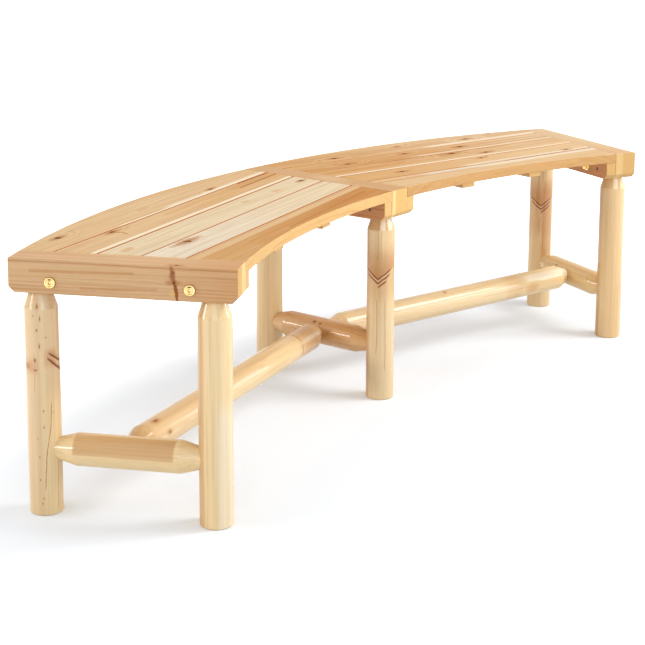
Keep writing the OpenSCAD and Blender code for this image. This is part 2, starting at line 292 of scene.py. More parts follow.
class Form:
    """A closed mesh in a piece's own grain frame."""

    def __init__(self, sawn_from: float = SAWN) -> None:
        """Starts empty.

        Args:
            sawn_from: How far a face must look along the grain to show end grain, from 0 to 1.
        """
        self.sawn_from = sawn_from
        self.mesh = bmesh.new()
        for name in (EASED, ARC):
            self.mesh.faces.layers.float.new(name)

    def prism(self, outline: Points, low: float, high: float, standing: bool = False) -> Form:
        """Adds a solid that has one outline all through.

        Args:
            outline: Its corners in order, as (along, across), or as (along, up) if it is standing.
            low: Where it starts, in up, or in across if it is standing.
            high: Where it stops.
            standing: Whether the outline is its side view and not its plan.

        Returns:
            This form.
        """
        rings = [
            [
                self.mesh.verts.new((along, level, other) if standing else (along, other, level))
                for along, other in outline
            ]
            for level in (low, high)
        ]
        return self._skin(rings)

    def turned(
        self,
        profile: Points,
        sides: int,
        shape: Callable[[float, float, float], float] = lambda along, angle, radius: radius,
        closed: bool = False,
    ) -> Form:
        """Adds a solid turned about the along axis.

        Args:
            profile: Its (along, radius) points from one end to the other.
            sides: Steps round it.
            shape: Its true radius at a place along and an angle round it, where the profile has a radius.
            closed: Whether the profile is the section of a ring, whose last point joins its first.

        Returns:
            This form.
        """
        rings = []
        for along, radius in profile:
            ring = []
            for k in range(sides):
                angle = math.tau * k / sides
                reach = shape(along, angle, radius)
                ring.append(self.mesh.verts.new((along, reach * math.cos(angle), reach * math.sin(angle))))
            rings.append(ring)
        return self._skin(rings, closed)

    def _skin(self, rings: list[list[bmesh.types.BMVert]], closed: bool = False) -> Form:
        """Joins rings of points by faces.

        Args:
            rings: The rings, all with equally many points.
            closed: Whether the last ring joins the first, or both are capped.

        Returns:
            This form.
        """
        if not closed:
            self.mesh.faces.new(reversed(rings[0]))
            self.mesh.faces.new(rings[-1])
        for lower, upper in zip(rings, rings[1:] + (rings[:1] if closed else [])):
            for k in range(len(lower)):
                n = (k + 1) % len(lower)
                self.mesh.faces.new((lower[k], lower[n], upper[n], upper[k]))
        return self

    def ease(self, width: float, steps: int = 3, limit: float = math.radians(30)) -> Form:
        """Rounds every arris sharper than a limit.

        Args:
            width: How far the rounding reaches from the arris.
            steps: Faces across the rounding.
            limit: Least angle between the faces of an arris that is rounded.

        Returns:
            This form.
        """
        bmesh.ops.recalc_face_normals(self.mesh, faces=self.mesh.faces)
        self.mesh.normal_update()
        sharp = [e for e in self.mesh.edges if e.is_manifold and e.calc_face_angle(0) > limit]
        bmesh.ops.bevel(self.mesh, geom=sharp, offset=width, segments=steps, profile=0.5, affect="EDGES",
                        clamp_overlap=True)
        return self

    def mark(self, layer: str, chosen: Callable[[Vector, Vector], bool]) -> Form:
        """Marks faces for the wood finish.

        Args:
            layer: EASED or ARC.
            chosen: Whether the face with this middle and this normal is marked.

        Returns:
            This form.
        """
        flag = self.mesh.faces.layers.float[layer]
        self.mesh.normal_update()
        for face in self.mesh.faces:
            if chosen(face.calc_center_median(), face.normal):
                face[flag] = 1.0
        return self

    def finish(self, name: str, place: Matrix, cutters: Iterable[Form] = ()) -> bpy.types.Object:
        """Makes the object, with its grain attributes.

        Args:
            name: The piece's name.
            place: Matrix from the grain frame to the bench's frame.
            cutters: Forms, in the same grain frame, that are cut out of it.

        Returns:
            The new object, at the origin, with its place in its mesh.
        """
        mesh = self._as_mesh(name)
        piece = bpy.data.objects.new(name, mesh)
        bpy.context.scene.collection.objects.link(piece)
        for cutter in cutters:
            self._cut(piece, cutter)
        self._label(piece.data)
        piece.data.transform(place)
        even = piece.modifiers.new("even shading", "WEIGHTED_NORMAL")
        even.keep_sharp = True
        return piece

    def _as_mesh(self, name: str) -> bpy.types.Mesh:
        """Turns the form into a mesh with outward faces.

        Args:
            name: The mesh's name.

        Returns:
            The mesh. The form is used up.
        """
        bmesh.ops.recalc_face_normals(self.mesh, faces=self.mesh.faces)
        mesh = bpy.data.meshes.new(name)
        self.mesh.to_mesh(mesh)
        self.mesh.free()
        return mesh

    @staticmethod
    def _cut(piece: bpy.types.Object, cutter: Form) -> None:
        """Cuts one form out of a piece for good.

        Args:
            piece: The piece.
            cutter: The form, which is used up.
        """
        tool = bpy.data.objects.new("tool", cutter._as_mesh("tool"))
        bpy.context.scene.collection.objects.link(tool)
        cut = piece.modifiers.new("cut", "BOOLEAN")
        cut.operation, cut.solver, cut.object = "DIFFERENCE", "EXACT", tool
        bpy.context.view_layer.update()
        seen = piece.evaluated_get(bpy.context.evaluated_depsgraph_get())
        result = bpy.data.meshes.new_from_object(seen)
        piece.modifiers.clear()
        old, piece.data = piece.data, result
        bpy.data.meshes.remove(old)
        spent = tool.data
        bpy.data.objects.remove(tool)
        bpy.data.meshes.remove(spent)
        piece.data.name = piece.name

    def _label(self, mesh: bpy.types.Mesh) -> None:
        """Writes the grain frame and the cut faces as attributes, and sets smooth and sharp edges.

        Args:
            mesh: A piece's mesh, still in its grain frame.
        """
        grain = mesh.attributes.new(GRAIN, "FLOAT_VECTOR", "POINT")
        for k, vert in enumerate(mesh.vertices):
            grain.data[k].vector = vert.co
        cut = mesh.attributes.new(CUT, "FLOAT", "FACE")
        for k, face in enumerate(mesh.polygons):
            share = (abs(face.normal.x) - self.sawn_from) / SAWN_BLEND
            cut.data[k].value = min(1.0, max(0.0, share))
            face.use_smooth = True
        for name in (EASED, ARC):
            if name not in mesh.attributes:
                mesh.attributes.new(name, "FLOAT", "FACE")
        mesh.set_sharp_from_angle(angle=SHARP)


def softened(corners: Points, radius: float, step: float) -> Points:
    """A turned profile with rounded corners and evenly spaced rings between them.

    Args:
        corners: The profile's (along, radius) corners.
        radius: How far from a corner its rounding starts.
        step: Greatest distance between two rings.

    Returns:
        The finer profile.
    """
    points = [Vector(c) for c in corners]
    out = [points[0]]
    for before, corner, after in zip(points, points[1:], points[2:]):
        reach_in = min(radius, (corner - before).length * 0.45)
        reach_out = min(radius, (after - corner).length * 0.45)
        start = corner + (before - corner).normalized() * reach_in
        stop = corner + (after - corner).normalized() * reach_out
        out += [start, start * 0.25 + corner * 0.5 + stop * 0.25, stop]
    out.append(points[-1])
    fine = [out[0]]
    for point in out[1:]:
        pieces = max(1, math.ceil((point - fine[-1]).length / step))
        origin = fine[-1]
        fine += [origin.lerp(point, k / pieces) for k in range(1, pieces + 1)]
    return [(p.x, p.y) for p in fine]


# ------------ colours and nodes


def linear(red: int, green: int, blue: int) -> Rgb:
    """Turns a colour into Blender's linear numbers.

    Args:
        red: Its red, from 0 to 255 as screens show it.
        green: Its green.
        blue: Its blue.

    Returns:
        The linear colour, with an alpha of 1.
    """

    def channel(value: int) -> float:
        """Its linear number."""
        share = value / 255
        return share / 12.92 if share <= 0.04045 else ((share + 0.055) / 1.055) ** 2.4

    return channel(red), channel(green), channel(blue), 1.0


class Tone(Enum):
    """Varnished colours of the bench's softwood, some also laid as painted highlights and shade on the logs.
    """

    WHITE = linear(240, 224, 197)
    SAP = linear(226, 211, 187)
    CREAM = linear(225, 205, 171)
    PALE = linear(224, 195, 158)
    STRAW = linear(219, 186, 143)
    HONEY = linear(216, 175, 125)
    GOLD = linear(212, 168, 117)
    AMBER = linear(205, 160, 108)
    HEART = linear(195, 138, 82)
    TAN = linear(214, 175, 132)
    GINGER = linear(208, 161, 114)
    CEDAR = linear(204, 142, 90)
    PEELED = linear(237, 208, 157)
    MELLOW = linear(230, 201, 153)
    BISQUE = linear(223, 197, 154)
    OCHRE = linear(219, 185, 134)
    END = linear(214, 175, 111)
    CORN = linear(226, 193, 134)
    EDGE = linear(222, 182, 124)
    BARE = linear(184, 138, 84)
    GROOVE = linear(208, 128, 58)
    BLOOM = linear(184, 130, 76)
    RESIN = linear(168, 100, 50)
    SCAR = linear(136, 70, 30)
    RUSSET = linear(142, 82, 50)
    KNOT = linear(92, 44, 24)
    LATE = linear(206, 138, 78)


SEED_WAY = (1.0, 1.7, 0.6)  # how far a seed of 1 moves a noise along, across and up


class Weave(NamedTuple):
    """A noise in the wood: its scales along, across and up, its octaves, roughness and own seed."""

    scale: Triple
    detail: float
    rough: float
    seed: float = 0.0


FIBRES = Weave((8.0, 700.0, 700.0), 4.0, 0.62)
BANDS = Weave((2.6, 150.0, 150.0), 3.0, 0.6, 2.2)
CLOUDS = Weave((4.5, 34.0, 34.0), 3.0, 0.55, 3.1)
DASHES = Weave((20.0, 900.0, 900.0), 2.0, 0.5, 6.6)
KNOT_RIMS = Weave((170.0, 170.0, 170.0), 2.0, 0.5, 9.0)
PITH_DRIFT = Weave((1.6, 5.0, 5.0), 2.0, 0.5, 1.3)
RING_WOBBLE = Weave((7.0, 60.0, 60.0), 2.0, 0.5, 4.4)
STRIP_SWAY = Weave((7.0, 20.0, 20.0), 3.0, 0.6, 5.0)
STREAK_SWAY = Weave((90.0, 90.0, 90.0), 4.0, 0.65, 7.7)
LOG_SWAY = Weave((40.0, 60.0, 60.0), 3.0, 0.6, 7.0)
END_CLOUDS = Weave((90.0, 90.0, 90.0), 4.0, 0.6, 2.0)
PORES = Weave((700.0, 700.0, 700.0), 2.0, 0.6, 5.0)
POLISH = Weave((260.0, 260.0, 260.0), 4.0, 0.6)


class Blot(NamedTuple):
    """A tone that shows through where a noise goes from low to high, and how strongly."""

    weave: Weave
    low: float
    high: float
    share: float
    tone: Tone


MOTTLING = (
    Blot(CLOUDS, 0.45, 0.78, 1.0, Tone.AMBER),
    Blot(CLOUDS, 0.5, 0.24, 0.6, Tone.SAP),
    Blot(BANDS, 0.52, 0.78, 1.3, Tone.HEART),
)
FLECKS = Blot(DASHES, 0.62, 0.78, 1.0, Tone.RESIN)


class Graph:
    """Shorthand for wiring nodes."""

    def __init__(self, tree: bpy.types.NodeTree) -> None:
        """Empties the node tree that it wires."""
        self.tree = tree
        tree.nodes.clear()

    def node(
        self, kind: str, feeds: Mapping[str | int, object] | None = None, **settings: object
    ) -> bpy.types.Node:
        """Adds a node.

        Args:
            kind: Its type.
            feeds: What goes into its inputs, by their names or numbers: an output, or a plain value.
            **settings: Its properties.

        Returns:
            The new node.
        """
        made = self.tree.nodes.new(kind)
        for key, value in settings.items():
            setattr(made, key, value)
        for key, value in (feeds or {}).items():
            if isinstance(value, bpy.types.NodeSocket):
                self.tree.links.new(value, made.inputs[key])
            else:
                made.inputs[key].default_value = value
        return made

    def math(self, operation: str, *values: object, clamp: bool = False) -> Socket:
        """A Math node's result."""
        made = self.node("ShaderNodeMath", dict(enumerate(values)), operation=operation, use_clamp=clamp)
        return made.outputs[0]

    def times(self, *values: object) -> Socket:
        """The product of two or more numbers."""
        return reduce(lambda first, second: self.math("MULTIPLY", first, second), values)

    def vector(self, operation: str, *values: object) -> Socket:
        """A Vector Math node's result: a number for lengths and products, else a vector."""
        made = self.node("ShaderNodeVectorMath", dict(enumerate(values)), operation=operation)
        return made.outputs["Value" if operation in ("LENGTH", "DISTANCE", "DOT_PRODUCT") else "Vector"]

    def span(self, value: object, low: float, high: float, start: float = 0.0, stop: float = 1.0) -> Socket:
        """Maps low..high smoothly to start..stop."""
        feeds = {"Value": value, "From Min": low, "From Max": high, "To Min": start, "To Max": stop}
        return self.node("ShaderNodeMapRange", feeds, interpolation_type="SMOOTHSTEP").outputs["Result"]

    def about(self, noise: Socket, reach: float, middle: float = 0.0) -> Socket:
        """Maps a noise of 0..1 to a middle value and as far as a reach on both sides of it."""
        return self.math("MULTIPLY_ADD", noise, 2 * reach, middle - reach)

    def noise(self, place: Socket, weave: Weave, seed: float = 0.0) -> bpy.types.NodeOutputs:
        """Adds a noise.

        Args:
            place: The vector that it is read at.
            weave: Its look.
            seed: Added to the weave's own seed.

        Returns:
            Its outputs, Fac and Color.
        """
        shift = tuple((seed + weave.seed) * share for share in SEED_WAY)
        spread = self.vector("MULTIPLY_ADD", place, weave.scale, shift)
        feeds = {"Vector": spread, "Scale": 1.0, "Detail": weave.detail, "Roughness": weave.rough}
        return self.node("ShaderNodeTexNoise", feeds).outputs

    def blend(self, factor: object, first: object, second: object, mode: str = "MIX") -> Socket:
        """Mixes two colours, which are the Mix node's inputs 6 and 7 and its output 2."""
        made = self.node("ShaderNodeMix", {0: factor, 6: first, 7: second}, data_type="RGBA", blend_type=mode)
        return made.outputs[2]

    def scaled(self, colour: Socket, factor: Socket) -> Socket:
        """A colour times a number."""
        made = self.node("ShaderNodeVectorMath", {0: colour, "Scale": factor}, operation="SCALE")
        return made.outputs["Vector"]

    def attribute(self, name: str, output: str = "Fac") -> Socket:
        """Reads a mesh attribute."""
        return self.node("ShaderNodeAttribute", attribute_name=name).outputs[output]

    def split(self, vector: Socket) -> bpy.types.NodeOutputs:
        """A vector's X, Y and Z."""
        return self.node("ShaderNodeSeparateXYZ", {0: vector}).outputs

    def bump(self, height: Socket, strength: float, distance: float) -> Socket:
        """The normal of an uneven surface."""
        feeds = {"Strength": strength, "Distance": distance, "Height": height}
        return self.node("ShaderNodeBump", feeds).outputs["Normal"]


class Material(Graph):
    """A material with its nodes."""

    def __init__(self, name: str) -> None:
        """Makes the material.

        Args:
            name: Its name.
        """
        self.material = bpy.data.materials.new(name)
        self.material.use_nodes = True
        super().__init__(self.material.node_tree)

    def surface(self, shader: bpy.types.Node) -> None:
        """Ends the nodes in a shader."""
        self.node("ShaderNodeOutputMaterial", {"Surface": shader.outputs[0]})

    def dress(self, piece: bpy.types.Object) -> None:
        """Gives a piece this material alone."""
        piece.data.materials.clear()
        piece.data.materials.append(self.material)


# ------------ marks in the wood


class Plane(Enum):
    """Which faces of a sawn timber a mark lies on, and so which way it is placed across the grain."""

    TOP = "top"  # placed by across
    SIDE = "side"  # placed by up
    END = "end"  # placed by across, on the faces sawn across the fibres


@dataclass(frozen=True)
class Knot:
    """A branch's knot: its place in the grain frame and its radius, in millimetres.

    stretch draws it out along the fibres, halo is the strength of the warm wood round it, and depth is 1 for
    a ball and 0 for a knot that goes straight through.
    """

    along: float
    across: float
    up: float
    radius: float
    stretch: float = 1.3
    halo: float = 1.0
    depth: float = 1.0


@dataclass(frozen=True)
class Strip:
    """A band along the grain, such as sapwood at a board's edge, or painted light and shade on a log: places
    and widths in millimetres.

    soft is the blur of its sides and fade that of its ends. On a log, facing is the angle of the side that
    it lies on, and across counts from there.
    """

    across: float
    width: float
    tone: Tone
    start: float = -UNBOUND
    stop: float = UNBOUND
    soft: float = 3.0
    share: float = 1.0
    plane: Plane = Plane.TOP
    facing: float | None = None
    fade: float = 25.0


@dataclass(frozen=True)
class Streak:
    """A crack or a line of resin on a timber's face, between two (along, across or up) points in mm."""

    start: tuple[float, float]
    stop: tuple[float, float]
    width: float
    tone: Tone
    plane: Plane = Plane.TOP
    soft: float = 1.5
    share: float = 0.9
    ragged: float = 1.5


@dataclass(frozen=True)
class Pin:
    """A pin knot in a log's skin, on the side that faces an angle: place and radius in millimetres."""

    facing: float
    height: float
    aside: float
    radius: float
    tall: float = 1.4
    tone: Tone = Tone.KNOT


@dataclass(frozen=True)
class Scar:
    """A chevron of dark lines where a whorl of branches was cut off a log, with the warm wood above it.

    height is that of the uppermost line's point, slope its rise to the sides, arm the one side (1 right,
    -1 left) that is drawn, or 0 for both.
    """

    height: float
    facing: float
    slope: float = 0.82
    reach: float = 28.0
    lines: int = 2
    pitch: float = 8.8
    arm: int = 0
    bloom: float = 0.9
    bloom_height: float = 60.0


@dataclass(frozen=True)
class Check:
    """A fine drying crack in a log: the side that it is on, and its way as rising (height, aside) points."""

    facing: float
    path: tuple[tuple[float, float], ...]
    width: float = 0.9
    share: float = 0.6


@dataclass(frozen=True)
class Grain:
    """What makes one piece of wood its own: tones, the pith's place, and its marks.

    The ground tone goes from left to right over the span, in millimetres along. figure is the strength of
    the rings, and edge the tone of a curved sawn edge.
    """

    seed: int
    left: Tone
    right: Tone
    pith: tuple[float, float] = (0.0, -30.0)
    knots: tuple[Knot, ...] = ()
    strips: tuple[Strip, ...] = ()
    streaks: tuple[Streak, ...] = ()
    pins: tuple[Pin, ...] = ()
    scars: tuple[Scar, ...] = ()
    checks: tuple[Check, ...] = ()
    span: tuple[float, float] = (-350.0, 350.0)
    figure: float = 1.0
    edge: Tone = Tone.EDGE


# ------------ finishes


@dataclass(frozen=True)
class WoodFinish:
    """Varnished softwood: ring_gap and wander in metres, the rest as shares.

    ring_gap is a year's width and wander how far the pith strays. ring_depth, fibre_depth, flecks and
    mottle say how strongly each shows, and groove how much warmer the varnish is on an arris.
    """

    name: str
    slot: str
    ring_gap: float
    ring_depth: float
    fibre_depth: float
    flecks: float
    mottle: float
    wander: float
    coat: float
    coat_roughness: float
    sheen: float
    groove: float

    def dress(self, piece: bpy.types.Object, grain: Grain) -> None:
        """Gives a piece this finish.

        Args:
            piece: The piece.
            grain: What makes its wood its own.
        """
        painting = Painting(self, grain, piece.name)
        painting.paint()
        painting.dress(piece)


class KnotMasks(NamedTuple):
    """What a piece's knots do: how far they push the rings aside, and where their cores and halos lie."""

    lift: Socket
    core: Socket
    halo: Socket


class Painting(Material):
    """The material of one piece of wood, painted from its ground tone up to its varnish."""

    edge_share = 0.8  # how far a curved sawn edge takes its own tone
    edge_calm = 0.4  # how much weaker the rings show there
    halo_length = 0.42  # a halo is drawn out along the fibres by the inverse of this
    knot_rag = 0.6  # unevenness of a knot's rim, as a share of its radius
    ring_wobble = 2.2 * MM
    strip_sway = 2.5 * MM
    check_sway = 1.5 * MM
    scar_sway = 2.5 * MM
    check_fade = 12.0  # length, in millimetres, in which a crack runs out at either end
    check_room = 60.0  # width, in millimetres, that a crack's way can take
    scar_step = 2.6 * MM  # how much shorter each line of a scar is than the one above
    side_edge = 6 * MM  # width of the soft edge between a log's two sides
    end_year = 3.4 * MM
    end_share = 0.92

    def __init__(self, finish: WoodFinish, grain: Grain, piece: str) -> None:
        """Starts the material on its ground tone, which drifts from one end of the piece to the other.

        Args:
            finish: The kind of timber.
            grain: What makes this piece's wood its own.
            piece: The piece's name.
        """
        self.finish = finish
        self.grain = grain
        super().__init__(f"{finish.name}_{piece}")
        self.place = self.attribute(GRAIN, "Vector")
        self.along, self.across, self.up = self.split(self.place)
        self.sawn = self.attribute(CUT)
        self.noises: dict[Weave, bpy.types.NodeOutputs] = {}
        drift = self.span(self.along, grain.span[0] * MM, grain.span[1] * MM)
        self.colour = self.blend(drift, grain.left.value, grain.right.value)
        self.dents = self.math("ADD", 0.0, 0.0)

    def paint(self) -> None:
        """Paints everything, in its order."""
        for blot in MOTTLING:
            self._blot(blot, self.finish.mottle)
        knots = self._knots()
        rho = self._rings_radius(knots.lift)
        late = self._latewood(rho)
        self._strips(Plane.TOP, Plane.SIDE)
        self._rings(late)
        self._fibres()
        self._lay(knots.halo, Tone.RESIN)
        self._lay(knots.core, Tone.KNOT)
        self._dent(knots.core)
        self._streaks()
        self._scars()
        self._checks()
        self._pins()
        self._end_grain(rho)
        self._strips(Plane.END)
        worn = self.times(self.attribute(EASED), self.finish.groove)
        self._lay(worn, Tone.GROOVE, "MULTIPLY")
        self._varnish(late)

    def _noise(self, weave: Weave, output: str = "Fac") -> Socket:
        """Cuts a noise for this piece, once.

        Args:
            weave: Its look.
            output: Fac or Color.

        Returns:
            That output of it.
        """
        if weave not in self.noises:
            self.noises[weave] = self.noise(self.place, weave, self.grain.seed)
        return self.noises[weave][output]

    def _lay(self, mask: Socket, tone: Tone, mode: str = "MIX") -> None:
        """Lays a tone over what is painted so far."""
        self.colour = self.blend(mask, self.colour, tone.value, mode)

    def _dent(self, mask: Socket) -> None:
        """Sinks the surface under a mask."""
        self.dents = self.math("MAXIMUM", self.dents, mask)

    def _blot(self, blot: Blot, share: float) -> None:
        """Lets a blot's tone show through, with a share of its strength."""
        noise = self._noise(blot.weave)
        self._lay(self.span(noise, blot.low, blot.high, 0.0, blot.share * share), blot.tone)

    def _rings(self, late: Socket) -> None:
        """Draws the latewood, more faintly on a curved sawn edge, which takes a tone of its own.

        Args:
            late: The latewood's mask.
        """
        arc = self.attribute(ARC)
        self._lay(self.times(arc, self.edge_share), self.grain.edge)
        calm = self.math("MULTIPLY_ADD", arc, -self.edge_calm, 1.0)
        self._lay(self.times(late, self.finish.ring_depth * self.grain.figure, calm), Tone.LATE, "MULTIPLY")

    def _fibres(self) -> None:
        """Lightens and darkens the fibres and broader bands of them, and lays brown flecks between them."""
        depth = self.finish.fibre_depth
        fine = self.span(self._noise(FIBRES), 0.3, 0.7, 1.0 - depth, 1.0 + depth * 0.5)
        broad = self.span(self._noise(BANDS), 0.3, 0.7, 1.0 + depth * 0.4, 1.0 - depth * 0.6)
        self.colour = self.scaled(self.colour, self.times(fine, broad))
        self._blot(FLECKS, self.finish.flecks)

    def _knots(self) -> KnotMasks:
        """Works out what the knots do.

        Returns:
            Their masks.
        """
        lift = core = halo = self.math("ADD", 0.0, 0.0)
        for knot in self.grain.knots:
            radius = knot.radius * MM
            middle = (knot.along * MM, knot.across * MM, knot.up * MM)
            offset = self.vector("SUBTRACT", self.place, middle)
            near, wide = (
                self.vector("LENGTH", self.vector("MULTIPLY", offset, (length, 1.0, knot.depth)))
                for length in (1.0 / knot.stretch, self.halo_length / knot.stretch)
            )
            uneven = self.about(self._noise(KNOT_RIMS), self.knot_rag * radius)
            push = self.span(wide, radius * 0.4, radius * 4.0, radius * 2.0, 0.0)
            dark = self.span(self.math("ADD", near, uneven), radius * 0.5, radius * 0.95, 0.97, 0.0)
            glow = 0.6 * knot.halo
            warm = self.span(self.math("ADD", wide, uneven), radius * 0.6, radius * 1.9, glow, 0.0)
            lift = self.math("ADD", lift, push)
            core = self.math("MAXIMUM", core, dark)
            halo = self.math("MAXIMUM", halo, warm)
        return KnotMasks(lift, core, halo)

    def _rings_radius(self, lift: Socket) -> Socket:
        """Works out the distance from the pith.

        Args:
            lift: The knots' push.

        Returns:
            The distance, with the pith's slow wandering, a fine wobble and the push.
        """
        offset = self.place
        for weave, reach in ((PITH_DRIFT, self.finish.wander), (RING_WOBBLE, self.ring_wobble)):
            noise = self._noise(weave, "Color")
            sway = self.vector("MULTIPLY_ADD", noise, (0, reach, reach), (0, -reach / 2, -reach / 2))
            offset = self.vector("ADD", offset, sway)
        across, up = self.grain.pith
        offset = self.vector("ADD", offset, (0.0, -across * MM, -up * MM))
        return self.math("ADD", self.vector("LENGTH", self.vector("MULTIPLY", offset, (0, 1, 1))), lift)

    def _latewood(self, rho: Socket) -> Socket:
        """Works out the dark part of each year's ring.

        Args:
            rho: Distance from the pith.

        Returns:
            A mask that deepens slowly, ends sharply and differs from year to year.
        """
        gap, seed = self.finish.ring_gap, self.grain.seed
        slow = self.math("MULTIPLY_ADD", rho, 0.4 / gap, seed * 1.37)
        years = self.node("ShaderNodeTexNoise", {"W": slow, "Scale": 1.0}, noise_dimensions="1D")
        count = self.math("MULTIPLY_ADD", rho, 1 / gap, self.times(years.outputs["Fac"], 2.4))
        year = self.math("FRACT", count)
        number = self.math("ADD", self.math("FLOOR", count), seed + 0.5)
        luck = self.node("ShaderNodeTexWhiteNoise", {"W": number}, noise_dimensions="1D").outputs["Value"]
        rise = self.span(year, 0.2, 0.9)
        fall = self.span(year, 0.92, 1.0, 1.0, 0.0)
        return self.times(rise, fall, self.span(luck, 0.1, 1.0, 0.12, 1.0))

    def _strips(self, *planes: Plane) -> None:
        """Lays the strips of the given planes."""
        for strip in (strip for strip in self.grain.strips if strip.plane in planes):
            self._lay(self._strip(strip), strip.tone)

    def _strip(self, strip: Strip) -> Socket:
        """Works out where a strip lies.

        Args:
            strip: The strip.

        Returns:
            Its mask.
        """
        level = self.up if strip.plane is Plane.SIDE else self.across
        limits = []
        if strip.facing is not None:
            level, front = self._facing(strip.facing)
            limits.append(front)
        for edge, way in ((strip.start, strip.fade), (strip.stop, -strip.fade)):
            if abs(edge) < UNBOUND:
                limits.append(self.span(self.along, (edge - way) * MM, (edge + way) * MM))
        if strip.plane is Plane.END:
            limits.append(self.sawn)
        sway = self.about(self._noise(STRIP_SWAY), self.strip_sway, -strip.across * MM)
        away = self.math("ABSOLUTE", self.math("ADD", level, sway))
        half = strip.width / 2 * MM
        band = self.span(away, half, half + strip.soft * MM, strip.share, 0.0)
        return self.times(band, *limits) if limits else band

    def _streaks(self) -> None:
        """Draws a timber's cracks and lines of resin."""
        if not self.grain.streaks:
            return
        normal = self.node("ShaderNodeNewGeometry").outputs["True Normal"]
        upward = self.split(self.vector("ABSOLUTE", normal))["Z"]
        for streak in self.grain.streaks:
            mask = self._streak(streak, upward)
            self._lay(mask, streak.tone)
            self._dent(self.times(mask, 0.5))

    def _streak(self, streak: Streak, upward: Socket) -> Socket:
        """Works out where a streak lies.

        Args:
            streak: The streak.
            upward: How far a face looks up or down, from 0 to 1.

        Returns:
            Its mask.
        """
        on_top = streak.plane is Plane.TOP
        level = self.across if on_top else self.up
        flat = self.node("ShaderNodeCombineXYZ", {"X": self.along, "Y": level}).outputs[0]
        first = Vector((*streak.start, 0.0)) * MM
        run = Vector((*streak.stop, 0.0)) * MM - first
        passed = self.vector("DOT_PRODUCT", self.vector("SUBTRACT", flat, tuple(first)), tuple(run))
        share = self.math("MULTIPLY", passed, 1 / run.length_squared, clamp=True)
        nearest = self.vector("MULTIPLY_ADD", share, tuple(run), tuple(first))
        sway = self.about(self._noise(STREAK_SWAY), streak.ragged * MM)
        away = self.math("ADD", self.vector("DISTANCE", flat, nearest), sway)
        half = streak.width / 2 * MM
        band = self.span(away, half, half + streak.soft * MM, streak.share, 0.0)
        return self.times(band, self.span(upward, 0.5, 0.7 if on_top else 0.3))

    def _checks(self) -> None:
        """Draws a log's drying cracks."""
        for check in self.grain.checks:
            aside, front = self._facing(check.facing)
            off = self.math("SUBTRACT", aside, self._track(check.path))
            sway = self.about(self._noise(LOG_SWAY), self.check_sway)
            away = self.math("ABSOLUTE", self.math("ADD", off, sway))
            line = self.span(away, check.width * 0.35 * MM, check.width * MM, check.share, 0.0)
            foot, tip = check.path[0][0], check.path[-1][0]
            low = self.span(self.along, foot * MM, (foot + self.check_fade) * MM)
            high = self.span(self.along, tip * MM, (tip - self.check_fade) * MM)
            mask = self.times(line, front, low, high)
            self._lay(mask, Tone.RESIN)
            self._dent(mask)

    def _track(self, path: Sequence[tuple[float, float]]) -> Socket:
        """Works out how far aside a crack lies at each height.

        Args:
            path: Its way as rising (height, aside) points.

        Returns:
            The distance.
        """
        low = path[0][0]
        run = path[-1][0] - low
        curve = self.node("ShaderNodeFloatCurve")
        points = curve.mapping.curves[0].points
        spots = [((rise - low) / run, aside / self.check_room + 0.5) for rise, aside in path]
        points[0].location, points[1].location = spots[0], spots[-1]
        for spot in spots[1:-1]:
            points.new(*spot)
        curve.mapping.update()
        share = self.math("MULTIPLY_ADD", self.along, 1 / (run * MM), -low / run, clamp=True)
        self.tree.links.new(share, curve.inputs["Value"])
        return self.about(curve.outputs[0], self.check_room / 2 * MM)

    def _pins(self) -> None:
        """Draws a log's pin knots."""
        for pin in self.grain.pins:
            aside, front = self._facing(pin.facing)
            rise = self.math("MULTIPLY_ADD", self.along, 1 / pin.tall, -pin.height * MM / pin.tall)
            side = self.math("SUBTRACT", aside, pin.aside * MM)
            away = self.math("SQRT", self.math("ADD", self.times(rise, rise), self.times(side, side)))
            radius = pin.radius * MM
            halo = self.times(self.span(away, radius, radius * 2.2, 0.35, 0.0), front)
            core = self.times(self.span(away, radius * 0.5, radius * 1.1, 0.95, 0.0), front)
            self._lay(self.math("MAXIMUM", halo, core), pin.tone)
            self._dent(core)

    def _facing(self, angle: float) -> tuple[Socket, Socket]:
        """Works out one side of a log.

        Args:
            angle: Where the side faces, in degrees round the log.

        Returns:
            The distance aside of the side's middle line, and the side's mask.
        """
        turn = math.radians(angle)
        aside = self.vector("DOT_PRODUCT", self.place, (0, -math.sin(turn), math.cos(turn)))
        ahead = self.vector("DOT_PRODUCT", self.place, (0, math.cos(turn), math.sin(turn)))
        return aside, self.span(ahead, 0.0, self.side_edge)

    def _scars(self) -> None:
        """Draws a log's branch scars, each below the warm wood above it."""
        for scar in self.grain.scars:
            line, bloom = self._scar(scar)
            self._lay(bloom, Tone.BLOOM)
            self._lay(line, Tone.SCAR)
            self._dent(line)

